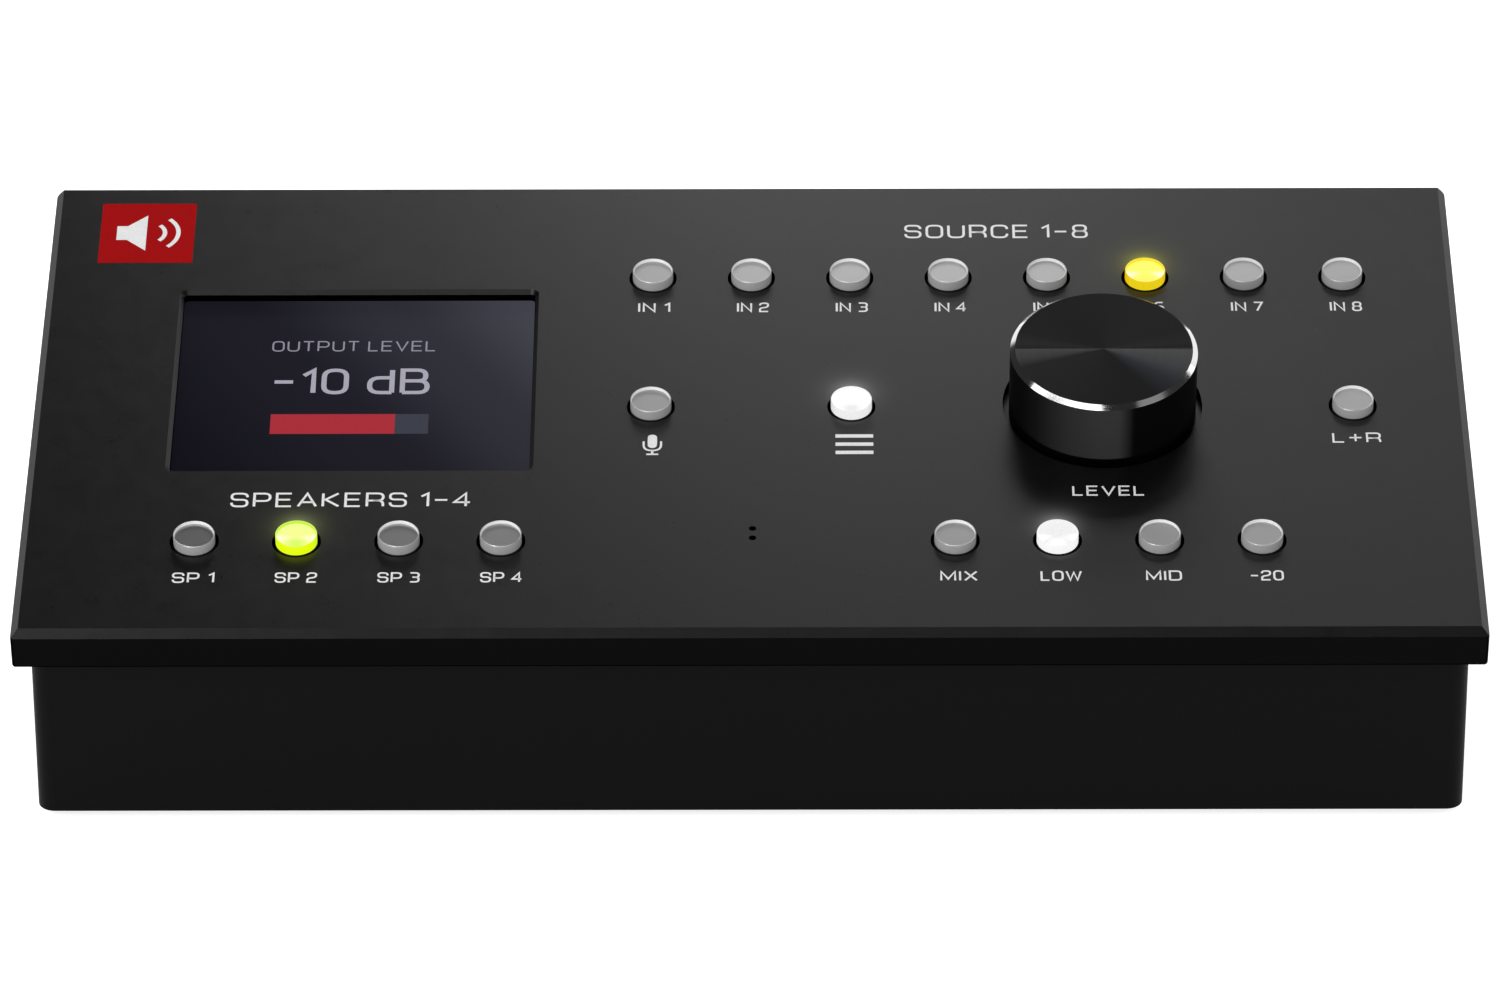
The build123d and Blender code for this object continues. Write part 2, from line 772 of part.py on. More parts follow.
with BuildPart() as display_pad:
    with BuildSketch(plate_underside):
        with Locations((window_x, window_v)):
            Rectangle(lcd_width - 2 * pad_margin, lcd_height - 2 * pad_margin)
    extrude(amount=pocket_height - lcd_thickness)
display_pad.part.label = "display_pad"
export_step(display_pad.part, "parts/display_pad.step")

flex_start_v = window_v - (lcd_inner_height - glass_gap) / 2
flex_end_v = window_v - lcd_height / 2 - flex_reach
flex_level = plate_skin + lcd_thickness - flex_rise
display_side = Plane(
    origin=plate_plane.from_local_coords((window_x, 0, 0)),
    x_dir=(0, cos(tilt), sin(tilt)),
    z_dir=(1, 0, 0),
)

with BuildPart() as display_flex:
    with BuildLine(display_side) as flex_route:
        FilletPolyline(
            (flex_start_v, -flex_level),
            (flex_end_v, -flex_level),
            (flex_end_v, flex_connector_height - plate_thickness),
            radius=flex_bend,
        )
    with BuildSketch(Plane(origin=flex_route.line @ 0, x_dir=(1, 0, 0), z_dir=flex_route.line % 0)):
        Rectangle(flex_width, flex_thickness)
    sweep(path=flex_route.line)
display_flex.part.label = "display_flex"
export_step(display_flex.part, "parts/display_flex.step")

with BuildPart() as flex_connector:
    with BuildSketch(plate_underside):
        with Locations((window_x, flex_end_v)):
            Rectangle(flex_connector_width, flex_connector_depth)
    extrude(amount=flex_connector_height)
flex_connector.part.label = "flex_connector"
export_step(flex_connector.part, "parts/flex_connector.step")

# ------------------------------------------------------------------- microphone

with BuildPart() as microphone:
    with BuildSketch(plate_underside):
        with Locations((mic_x, mic_v)):
            Circle(mic_radius)
    extrude(amount=mic_height)
microphone.part.label = "microphone"
export_step(microphone.part, "parts/microphone.step")

with BuildPart() as microphone_boot:
    with BuildSketch(plate_underside):
        with Locations((mic_x, mic_v)):
            Circle(mic_radius + mic_boot_wall)
            Circle(mic_radius + thread_gap, mode=Mode.SUBTRACT)
    extrude(amount=pocket_height)
    with BuildSketch(plate_underside.offset(mic_height)):
        with Locations((mic_x, mic_v)):
            Circle(mic_radius + mic_boot_wall)
            Circle(mic_radius - mic_boot_lip, mode=Mode.SUBTRACT)
    extrude(amount=pocket_height - mic_height)
microphone_boot.part.label = "microphone_boot"
export_step(microphone_boot.part, "parts/microphone_boot.step")

# ------------------------------------------------------------------- main board

with BuildPart() as main_board:
    with BuildSketch(Plane.XY.offset(main_board_bottom_z)):
        with Locations((usb_x, main_board_mid_y)):
            Rectangle(main_board_width, main_board_depth)
        with Locations(*standoff_points):
            Circle(screw_radius + screw_hole_gap, mode=Mode.SUBTRACT)
    extrude(amount=board_thickness)
main_board.part.label = "main_board"
export_step(main_board.part, "parts/main_board.step")

with BuildPart() as board_standoffs:
    with BuildSketch(Plane.XY.offset(base_top_z)):
        with Locations(*standoff_points):
            RegularPolygon(standoff_flats / 2, 6, major_radius=False)
    extrude(amount=standoff_height)
    # Pilot, pressed into the base plate
    with BuildSketch(Plane.XY.offset(base_top_z)):
        with Locations(*standoff_points):
            Circle(standoff_pilot_radius)
    extrude(amount=-base_thickness)
    with BuildSketch(Plane.XY.offset(main_board_bottom_z)):
        with Locations(*standoff_points):
            Circle(screw_radius + thread_gap)
    extrude(amount=-(standoff_height + base_thickness), mode=Mode.SUBTRACT)
board_standoffs.part.label = "board_standoffs"
export_step(board_standoffs.part, "parts/board_standoffs.step")

with BuildPart() as processor_chip:
    with BuildSketch(Plane.XY.offset(main_board_top_z)):
        with Locations((usb_x + main_board_width / 4, main_board_mid_y)):
            Rectangle(chip_size, chip_size)
    extrude(amount=chip_height)
processor_chip.part.label = "processor_chip"
export_step(processor_chip.part, "parts/processor_chip.step")

# ------------------------------------------------------------------- USB socket

usb_face = Plane.XZ.offset(-housing_rear_y)
usb_centre = (usb_x, usb_centre_z)
mouth_half_width = usb_mouth_width / 2
mouth_half_height = usb_mouth_height / 2

with BuildPart() as usb_socket:
    with BuildSketch(usb_face):
        with Locations(usb_centre):
            Rectangle(usb_width, usb_height)
    extrude(amount=usb_length)
    # Mouth with its two upper corners cut off
    with BuildSketch(usb_face):
        with Locations(usb_centre):
            Polygon(
                (-mouth_half_width, -mouth_half_height),
                (mouth_half_width, -mouth_half_height),
                (mouth_half_width, mouth_half_height - usb_mouth_chamfer),
                (mouth_half_width - usb_mouth_chamfer, mouth_half_height),
                (usb_mouth_chamfer - mouth_half_width, mouth_half_height),
                (-mouth_half_width, mouth_half_height - usb_mouth_chamfer),
                align=None,
            )
    extrude(amount=usb_mouth_depth, mode=Mode.SUBTRACT)
usb_socket.part.label = "usb_socket"
export_step(usb_socket.part, "parts/usb_socket.step")

with BuildPart() as usb_tongue:
    with BuildSketch(usb_face.offset(usb_mouth_depth)):
        with Locations(usb_centre):
            Rectangle(usb_tongue_width, usb_tongue_height)
    extrude(amount=-usb_tongue_length)
usb_tongue.part.label = "usb_tongue"
export_step(usb_tongue.part, "parts/usb_tongue.step")

# ----------------------------------------------------------------- ribbon cable

main_header_top_z = main_board_top_z + header_height
control_header_end = plate_thickness + board_thickness + header_height

with BuildPart() as main_header:
    with BuildSketch(Plane.XY.offset(main_board_top_z)):
        with Locations((ribbon_x, ribbon_main_y)):
            Rectangle(header_length, header_width)
    extrude(amount=header_height)
main_header.part.label = "main_header"
export_step(main_header.part, "parts/main_header.step")

with BuildPart() as control_header:
    with BuildSketch(board_underside):
        with Locations((ribbon_x, ribbon_control_v)):
            Rectangle(header_length, header_width)
    extrude(amount=-header_height)
control_header.part.label = "control_header"
export_step(control_header.part, "parts/control_header.step")

# The route lies upright, from the main board's header to the control board's
ribbon_start = Vector(ribbon_x, ribbon_main_y, main_header_top_z)
ribbon_rise = ribbon_start + Vector(0, 0, ribbon_straight)
ribbon_end = plate_plane.from_local_coords(
    Vector(ribbon_x, ribbon_control_v, -control_header_end)
)
ribbon_drop = ribbon_end - plate_plane.z_dir * ribbon_straight

with BuildPart() as ribbon_cable:
    with BuildLine() as ribbon_route:
        FilletPolyline(ribbon_start, ribbon_rise, ribbon_drop, ribbon_end, radius=ribbon_bend)
    with BuildSketch(Plane.XY.offset(main_header_top_z)):
        with Locations((ribbon_x, ribbon_main_y)):
            Rectangle(ribbon_width, ribbon_thickness)
    sweep(path=ribbon_route.line)
ribbon_cable.part.label = "ribbon_cable"
export_step(ribbon_cable.part, "parts/ribbon_cable.step")

# ----------------------------------------------------------------------- screws

sink_height = (screw_head_radius - screw_radius) / tan(radians(screw_sink_slope))

with BuildPart() as base_screws:
    with BuildSketch(Plane.XY.offset(base_bottom_z)):
        with Locations(*base_screw_points):
            Circle(screw_head_radius - thread_gap)
    extrude(amount=sink_height, taper=screw_sink_slope)
    with BuildSketch(Plane.XY.offset(base_bottom_z)):
        with Locations(*base_screw_points):
            Circle(screw_radius)
    extrude(amount=base_screw_length)
    with BuildSketch(Plane.XY.offset(base_bottom_z)):
        with Locations(*base_screw_points):
            RegularPolygon(screw_socket_radius, 6)
    extrude(amount=screw_socket_depth, mode=Mode.SUBTRACT)
base_screws.part.label = "base_screws"
export_step(base_screws.part, "parts/base_screws.step")

# A plane on the main board that looks down, as the other screws' seats look up
main_board_over = Plane(
    origin=(0, 0, main_board_top_z), x_dir=(1, 0, 0), z_dir=(0, 0, -1)
)
screw_sets = {
    "panel_screws": (plate_underside.offset(-lug_thickness), panel_screw_points, lug_thickness),
    "control_board_screws": (board_underside, board_screw_points, board_thickness),
    "main_board_screws": (
        main_board_over,
        [(x, -y) for x, y in standoff_points],
        board_thickness,
    ),
}
for set_name, (seat, points, grip) in screw_sets.items():
    with BuildPart() as screws:
        with BuildSketch(seat):
            with Locations(*points):
                Circle(screw_head_radius)
        extrude(amount=-screw_head_height)
        with BuildSketch(seat):
            with Locations(*points):
                Circle(screw_radius)
        extrude(amount=grip + screw_grip_depth)
        with BuildSketch(seat.offset(-screw_head_height)):
            with Locations(*points):
                RegularPolygon(screw_socket_radius, 6)
        extrude(amount=screw_socket_depth, mode=Mode.SUBTRACT)
    screws.part.label = set_name
    export_step(screws.part, f"parts/{set_name}.step")
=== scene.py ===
import json
from math import cos, pi, radians, sin

import bmesh
import bpy
from mathutils import Matrix, Vector


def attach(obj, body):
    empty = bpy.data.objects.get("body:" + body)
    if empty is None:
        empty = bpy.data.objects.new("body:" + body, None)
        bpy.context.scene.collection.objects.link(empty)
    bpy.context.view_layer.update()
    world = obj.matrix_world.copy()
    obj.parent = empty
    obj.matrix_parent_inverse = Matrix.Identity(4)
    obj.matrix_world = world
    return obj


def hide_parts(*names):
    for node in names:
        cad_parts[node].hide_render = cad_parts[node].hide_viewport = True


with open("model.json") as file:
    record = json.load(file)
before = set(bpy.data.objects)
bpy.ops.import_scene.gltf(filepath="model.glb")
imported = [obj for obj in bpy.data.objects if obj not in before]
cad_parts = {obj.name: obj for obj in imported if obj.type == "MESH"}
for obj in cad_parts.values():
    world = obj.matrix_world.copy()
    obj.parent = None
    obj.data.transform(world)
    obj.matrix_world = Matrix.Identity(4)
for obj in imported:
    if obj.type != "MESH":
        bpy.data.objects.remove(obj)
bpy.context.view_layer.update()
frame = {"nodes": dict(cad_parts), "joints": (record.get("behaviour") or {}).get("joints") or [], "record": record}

# Looks of the studio monitor controller: a finish for each CAD node, dished key caps, the
# lettering, the badge, the screen's picture, the floor, the lamps and the camera.

MM = 0.001
nodes = frame["nodes"]
joints = {joint["name"]: joint for joint in frame["joints"]}

# ------------------------------------------------------------- the plate's plane
# Places on the plate are (x, v, n) in millimetres: to the right, up the slope and
# out of the plate. They are counted from the plate's front upper edge.

KNOB_X, KNOB_V, KNOB_N = 71.25, 70.5, 5.0
NORMAL = Vector(joints["volume_turn"]["axis"]).normalized()
ACROSS = Vector((1, 0, 0))
UPHILL = NORMAL.cross(ACROSS)
KNOB_CENTRE = Vector(joints["volume_turn"]["pos_m"]) - NORMAL * KNOB_N * MM
ORIGIN = KNOB_CENTRE - (ACROSS * KNOB_X + UPHILL * KNOB_V) * MM


def plate_point(x, v, n=0.0):
    return ORIGIN + (ACROSS * x + UPHILL * v + NORMAL * n) * MM


# The keys' middles stand on three rows and on one pitch, counted from KEY_X. The output
# keys stand on the same pitch on both sides of OUTPUT_X.
KEY_PITCH = 20.28
KEY_X = 0.2
OUTPUT_X = -79.8
REAR_ROW, MIDDLE_ROW, FRONT_ROW = 112.0, 70.0, 27.85
KEYS = {f"input_key_{i + 1}": (KEY_X + (i - 1) * KEY_PITCH, REAR_ROW) for i in range(8)}
KEYS.update({f"output_key_{i + 1}": (OUTPUT_X + (i - 1.5) * KEY_PITCH, FRONT_ROW) for i in range(4)})
KEYS["talkback_key"] = (KEY_X - KEY_PITCH, MIDDLE_ROW)
KEYS["menu_key"] = (KEY_X + KEY_PITCH, MIDDLE_ROW)
KEYS["mono_key"] = (KEY_X + 6 * KEY_PITCH, MIDDLE_ROW)
for i, key_name in enumerate(("sum_key", "sub_key", "mid_side_key", "dim_key")):
    KEYS[key_name] = (KEY_X + (i + 2) * KEY_PITCH, FRONT_ROW)

# The display window's middle, its size, and the level of its upper face
SCREEN_X, SCREEN_V, SCREEN_N = -80.4, 79.2, -2.4
SCREEN_WIDTH, SCREEN_DEPTH = 72.2, 57.0

# ------------------------------------------------------------------ node helpers

# The span that most of a noise's values fill. Tilts are cosines of the angle between a
# face's normal and the plate's: a face turns level over LEVEL_TILT.
NOISE_SPAN = (0.3, 0.7)
LEVEL_TILT = (0.96, 0.99)
# A finish's grain: this share of a fine noise, the rest of one so many times broader
FINE_SHARE, BROADER = 0.7, 12
RIGHTWARDS = tuple(ACROSS)
BLACK = (0.0, 0.0, 0.0)
WHITE = (1.0, 1.0, 1.0)


def grey(level):
    return (level, level, level)


def opaque(colour):
    return (*colour, 1)


def shade(colour, factor):
    return tuple(min(1.0, c * factor) for c in colour)


class Tree:
    """A material's or the world's nodes, with short calls to add and join them."""

    def __init__(self, owner):
        owner.use_nodes = True
        self.nodes = owner.node_tree.nodes
        self.links = owner.node_tree.links
        self.nodes.clear()

    def add(self, kind, settings=None, **inputs):
        """A new node. Its inputs go by name or, as i0 and i1, by number."""
        node = self.nodes.new("ShaderNode" + kind)
        for name, value in (settings or {}).items():
            setattr(node, name, value)
        for name, value in inputs.items():
            self.feed(node, name.replace("_", " "), value)
        return node

    def feed(self, node, name, value):
        """Join an input to another node's output, or set it to a plain value."""
        socket = node.inputs[int(name[1:]) if name[0] == "i" and name[1:].isdigit() else name]
        if isinstance(value, bpy.types.NodeSocket):
            self.links.new(value, socket)
        else:
            socket.default_value = value

    def math(self, operation, a, b=0.0):
        return self.add("Math", {"operation": operation}, i0=a, i1=b).outputs[0]

    def vector(self, operation, a, b=(0, 0, 0)):
        node = self.add("VectorMath", {"operation": operation}, i0=a, i1=b)
        return node.outputs["Value" if operation in ("DOT_PRODUCT", "LENGTH") else "Vector"]

    def ramp(self, value, stops, interpolation="LINEAR"):
        node = self.add("ValToRGB", Fac=value)
        node.color_ramp.interpolation = interpolation
        elements = node.color_ramp.elements
        while len(elements) < len(stops):
            elements.new(0.5)
        for element, (place, colour) in zip(elements, stops):
            element.position = place
            element.color = opaque(colour)
        return node.outputs["Color"]

    def span(self, value, low, high, to_low=0.0, to_high=1.0):
        """The value's way from low to high, from 0 to 1 or between two other ends."""
        return self.add(
            "MapRange", {"clamp": True}, Value=value, From_Min=low, From_Max=high,
            To_Min=to_low, To_Max=to_high,
        ).outputs["Result"]

    def mix(self, factor, a, b, blend="MIX"):
        node = self.add("Mix", {"data_type": "RGBA", "blend_type": blend})
        self.feed(node, "Factor", factor)
        for socket, colour in (("i6", a), ("i7", b)):
            self.feed(node, socket, opaque(colour) if isinstance(colour, tuple) else colour)
        return node.outputs[2]

    def place(self):
        """Position in the row frame, at rest: a CAD node's object sits at the origin."""
        return self.add("TexCoord").outputs["Object"]

    def facing(self):
        """Cosine of the tilt between the surface and the plate's upper face."""
        return self.vector("DOT_PRODUCT", self.add("NewGeometry").outputs["Normal"], tuple(NORMAL))

    def offset(self, x, v, n=0.0):
        """Way from a place on the plate to the shaded point."""
        return self.vector("SUBTRACT", self.place(), tuple(plate_point(x, v, n)))

    def noise(self, scale, detail=2.0, roughness=0.5, vector=None):
        node = self.add("TexNoise", Scale=scale, Detail=detail, Roughness=roughness)
        self.feed(node, "Vector", self.place() if vector is None else vector)
        return node.outputs["Fac"]

    def bump(self, height, strength, distance):
        return self.add("Bump", Height=height, Strength=strength, Distance=distance).outputs["Normal"]

    def finish(self, shader, kind="OutputMaterial"):
        self.links.new(shader, self.nodes.new("ShaderNode" + kind).inputs["Surface"])


def surface(name, colour, rough, metallic=0.0, specular=0.5, grain=800.0, colour_swing=0.12,
            rough_swing=0.05, bump=0.1, depth=0.00002, stretch=(1, 1, 1), glow=None, gloss=None,
            metal=None):
    """A finish with fine grain: colour, roughness and height all follow one noise.

    glow and gloss, if given, are functions that return the colour of the surface's own
    light and of its mirror light. metal, if given, holds the colour of metallic faces
    level with the plate, the tilts to the plate's normal (as cosines) over which faces
    turn metallic, and the colour of metallic faces on a slope."""
    made = bpy.data.materials.new(name)
    tree = Tree(made)
    spread = tree.vector("MULTIPLY", tree.place(), stretch)
    fine = tree.noise(grain, detail=3.0, vector=spread)
    broad = tree.noise(grain / BROADER, detail=2.0, vector=spread)
    both = tree.math(
        "ADD", tree.math("MULTIPLY", fine, FINE_SHARE), tree.math("MULTIPLY", broad, 1 - FINE_SHARE),
    )
    tint = tree.ramp(both, [
        (NOISE_SPAN[0], shade(colour, 1 - colour_swing)), (NOISE_SPAN[1], shade(colour, 1 + colour_swing)),
    ])
    if metal:
        level, tilts, sloping = metal
        facing = tree.facing()
        metallic = tree.span(facing, *tilts)
        tint = tree.mix(metallic, tint, tree.mix(tree.span(facing, *LEVEL_TILT), sloping, level))
    shader = tree.add(
        "BsdfPrincipled", Base_Color=tint, Metallic=metallic,
        Roughness=tree.span(both, *NOISE_SPAN, rough - rough_swing, rough + rough_swing),
        Specular_IOR_Level=specular, Normal=tree.bump(fine, bump, depth),
    )
    if glow:
        tree.feed(shader, "Emission Color", glow(tree))
        tree.feed(shader, "Emission Strength", 1.0)
    if gloss:
        tree.feed(shader, "Specular Tint", gloss(tree))
    tree.finish(shader.outputs[0])
    return made


# --------------------------------------------------------------------- materials

# Light that the lit keys throw on the plate. In mm, its middle lies HALO_SHIFT uphill of
# the key's, most of it behind the raised cap, and it fades by a factor e over HALO_FADE.
# The upper face begins between the two levels of UPPER_FACE.
HALOS = {
    "input_key_6": (0.64, 0.64, 0.0),
    "output_key_2": (0.45, 0.5, 0.2),
    "menu_key": grey(0.49),
    "sub_key": grey(0.46),
}
HALO_SHIFT = 4.5
HALO_FADE = 1.8
UPPER_FACE = (-0.4, -0.1)


def key_halos(tree):
    """Colour of the lit keys' light on the plate's upper face."""
    height = tree.vector("DOT_PRODUCT", tree.offset(0, 0), tuple(NORMAL))
    total = BLACK
    for key, colour in HALOS.items():
        x, v = KEYS[key]
        gap = tree.vector("LENGTH", tree.offset(x, v + HALO_SHIFT))
        fade = tree.math("EXPONENT", tree.math("MULTIPLY", gap, -1 / (HALO_FADE * MM)))
        total = tree.mix(1.0, total, tree.mix(fade, BLACK, colour), "ADD")
    upper = tree.span(height, UPPER_FACE[0] * MM, UPPER_FACE[1] * MM)
    return tree.mix(upper, BLACK, total)


# Faces steeper than EDGE_TILT are cut edges, and from BEVEL_TILT on they are bevels or level
EDGE_GLOSS = grey(0.04)
EDGE_TILT, BEVEL_TILT = 0.2, 0.6


def dull_edges(tree):
    """Full gloss on the plate's upper face and bevels, little on its cut edges."""
    return tree.mix(tree.span(tree.facing(), EDGE_TILT, BEVEL_TILT), EDGE_GLOSS, WHITE)


# The plate's glow is painted light: the halos that the lit keys throw on it
plate_finish = surface(
    "plate_anodised", (0.0015, 0.0015, 0.0016), rough=0.32, specular=0.5, grain=2600,
    colour_swing=0.35, rough_swing=0.05, bump=0.35, depth=0.00003, glow=key_halos, gloss=dull_edges,
    metal=(grey(0.004), (BEVEL_TILT, EDGE_TILT), grey(0.004)),
)
housing_finish = surface(
    "housing_satin", (0.0025, 0.0025, 0.0026), rough=0.5, specular=0.05, grain=1500,
    colour_swing=0.15, rough_swing=0.04, bump=0.15, depth=0.00002,
)
# Pale caps with a satin metallic top, and the white of their rims' inner walls
key_finish = surface(
    "key_satin", grey(0.39), rough=0.32, specular=0.5, grain=3000, colour_swing=0.04,
    rough_swing=0.03, bump=0.05, depth=0.00001, metal=(grey(0.47), (0.5, 0.75), grey(0.95)),
)
rim_finish = surface(
    "key_rim_white", grey(0.97), rough=0.4, specular=0.3, grain=3000, colour_swing=0.03, bump=0.05,
)
finishes = {
    "plate_anodised": plate_finish,
    "housing_satin": housing_finish,
    "key_satin": key_finish,
    "base_steel": surface("base_steel", (0.02, 0.02, 0.021), 0.5, specular=0.3, grain=1800, bump=0.3),
    "foot_rubber": surface("foot_rubber", grey(0.025), 0.85, specular=0.2, grain=1200, bump=0.4),
    "foam": surface("foam", grey(0.03), 0.95, specular=0.1, grain=1500, bump=0.8),
    "lcd_metal": surface("lcd_metal", (0.5, 0.5, 0.51), 0.35, 1.0, grain=900, stretch=(0.1, 1, 1)),
    "lcd_module": surface("lcd_module", (0.02, 0.02, 0.025), 0.25, grain=500),
    "flex_film": surface("flex_film", (0.45, 0.22, 0.05), 0.3, grain=600, stretch=(1, 0.1, 0.1)),
    "black_plastic": surface("black_plastic", grey(0.018), 0.5, grain=1500, bump=0.3),
    "circuit_board": surface("circuit_board", (0.01, 0.1, 0.035), 0.35, grain=500, colour_swing=0.25),
    "chip_epoxy": surface("chip_epoxy", (0.02, 0.02, 0.021), 0.6, grain=2500, bump=0.4),
    "lamp_white": surface("lamp_white", (0.75, 0.75, 0.68), 0.3, grain=800),
    "encoder_metal": surface("encoder_metal", (0.62, 0.6, 0.55), 0.3, 1.0, grain=900),
    "screw_steel": surface("screw_steel", (0.55, 0.55, 0.56), 0.32, 1.0, grain=1200),
    "screw_black": surface("screw_black", grey(0.02), 0.4, grain=1200, bump=0.3),
    "socket_metal": surface("socket_metal", grey(0.6), 0.22, 1.0, grain=900),
    "socket_plastic": surface("socket_plastic", (0.6, 0.6, 0.57), 0.45, grain=900),
    "ribbon_grey": surface("ribbon_grey", (0.3, 0.3, 0.31), 0.6, grain=700, stretch=(6, 0.1, 0.1)),
}


# The pattern of light in a lit cap, measured from its middle in parts of LIT_RADIUS (mm).
# Its two wedges are painted highlights: they lean towards the front outwards, fade over
# WEDGE_SLOPES off their middle line and grow over WEDGE_REACH. The patch in front of the
# middle, between them, is painted shade, and on the sub key a painted highlight.
LIT_RADIUS = 4.9
WEDGE_LEAN = 0.3
WEDGE_SLOPES = (0.2, 0.5)
WEDGE_REACH = (0.1, 0.75)
WEDGE_START = 0.05
FRONT_PATCH_DEPTH, FRONT_PATCH_REACH = (-0.1, -0.35), (0.1, 0.5)
SHADED_ENDS = (0.65, 1.0)
FACE_TILT = (0.8, 0.97)


def lit_cap(name, side, ends, top, painted_highlight, painted_front_patch, key):
    """A translucent cap lit from below: two painted highlight wedges on its top, and its side painted darker at
    both ends as shade.
    """
    made = bpy.data.materials.new(name)
    tree = Tree(made)
    offset = tree.vector("MULTIPLY", tree.offset(*KEYS[key]), (1 / (LIT_RADIUS * MM),) * 3)
    forth = tree.vector("DOT_PRODUCT", offset, tuple(UPHILL))
    along = tree.math("ABSOLUTE", tree.vector("DOT_PRODUCT", offset, RIGHTWARDS))
    off_line = tree.math("ABSOLUTE", tree.math("ADD", forth, tree.math("MULTIPLY", along, WEDGE_LEAN)))
    slope = tree.math("DIVIDE", off_line, tree.math("MAXIMUM", along, WEDGE_START))
    # The two wedges on the top are painted highlights
    highlight_wedge = tree.math(
        "MULTIPLY", tree.span(slope, *WEDGE_SLOPES, 1.0, 0.0), tree.span(along, *WEDGE_REACH),
    )
    # The patch in front of the middle: painted shade, on the sub key a painted highlight
    low = tree.math("MULTIPLY", tree.span(forth, *FRONT_PATCH_DEPTH), tree.span(along, *FRONT_PATCH_REACH, 1.0, 0.0))
    face = tree.mix(highlight_wedge, tree.mix(low, top, painted_front_patch), painted_highlight)
    # The side is painted darker at both ends as shade
    wall = tree.mix(tree.span(along, *SHADED_ENDS), side, ends)
    grain = tree.noise(2200, detail=2.0)
    shader = tree.add(
        "BsdfPrincipled",
        Base_Color=tree.mix(tree.span(grain, *NOISE_SPAN), shade(side, 0.1), shade(side, 0.2)),
        Roughness=tree.span(grain, *NOISE_SPAN, 0.28, 0.36), Specular_IOR_Level=0.3,
        Emission_Color=tree.mix(tree.span(tree.facing(), *FACE_TILT), wall, face),
        Emission_Strength=0.95, Normal=tree.bump(grain, 0.05, 0.00001),
    )
    tree.finish(shader.outputs[0])
    return made


# Each cap's wedges are painted highlights, its front patch is painted shade (a painted highlight on the sub key),
# and its side's ends are painted shade
lit_caps = {
    "input_key_6": lit_cap(
        "key_lit_yellow", side=(0.8, 0.6, 0.008), ends=(0.72, 0.36, 0.0), top=(1.0, 0.93, 0.15),
        painted_highlight=(1.0, 1.0, 0.75), painted_front_patch=(0.95, 0.88, 0.12), key="input_key_6"),
    "output_key_2": lit_cap(
        "key_lit_green", side=(0.75, 0.95, 0.005), ends=(0.4, 0.85, 0.04), top=(0.85, 0.98, 0.3),
        painted_highlight=(1.0, 1.0, 0.75), painted_front_patch=(0.6, 0.9, 0.15), key="output_key_2"),
    "menu_key": lit_cap(
        "key_lit_white", side=grey(0.8), ends=grey(0.55), top=grey(0.92), painted_highlight=WHITE, painted_front_patch=grey(0.74),
        key="menu_key"),
    "sub_key": lit_cap(
        "key_lit_white_2", side=grey(0.88), ends=grey(0.75), top=grey(0.76), painted_highlight=WHITE, painted_front_patch=grey(0.97),
        key="sub_key"),
}
# The inner walls of their rims
RIM_GLOWS = {
    "input_key_6": (1.0, 0.8, 0.03),
    "output_key_2": (0.55, 0.9, 0.06),
    "menu_key": grey(0.97),
    "sub_key": grey(0.9),
}

# Colours round the knob by turn, counted from the left over the front: a half is the right.
# Its top has a painted sheen, a painted reflection of turned metal, sharp along one line and
# fading towards the front.
PAINTED_SHEEN_DARK = (0.0095, 0.0095, 0.0097)
PAINTED_SHEEN_STOPS = [
    (0.0, grey(0.075)), (0.03, grey(0.05)), (0.055, PAINTED_SHEEN_DARK), (0.347, PAINTED_SHEEN_DARK),
    (0.4, (0.03, 0.034, 0.042)), (0.44, (0.07, 0.072, 0.076)), (0.498, grey(0.1)), (0.501, PAINTED_SHEEN_DARK),
    (0.52, grey(0.018)), (0.56, PAINTED_SHEEN_DARK), (0.95, PAINTED_SHEEN_DARK), (0.98, grey(0.018)), (1.0, PAINTED_SHEEN_DARK),
]
# Painted light on its side, palest in front and ending right of it
SIDE_PAINTED_LIGHT_STOPS = [
    (0.0, grey(0.003)), (0.083, grey(0.003)), (0.119, grey(0.008)), (0.18, grey(0.03)),
    (0.236, grey(0.046)), (0.272, grey(0.05)), (0.298, grey(0.003)),
]
# Tilts over which the side turns into the bevel and the bevel into the top, and the level
# over the plate, in mm, at which the painted shade at the side's foot ends
TOP_TILT = (0.93, 0.99)
SIDE_TILT = (0.3, 0.6)
FOOT_SHADE_HEIGHT = (1.1, 1.4)
PAINTED_FOOT_SHADE = grey(0.001)
BARE_METAL = (0.85, 0.85, 0.86)
RINGS_PER_METRE = 9000.0


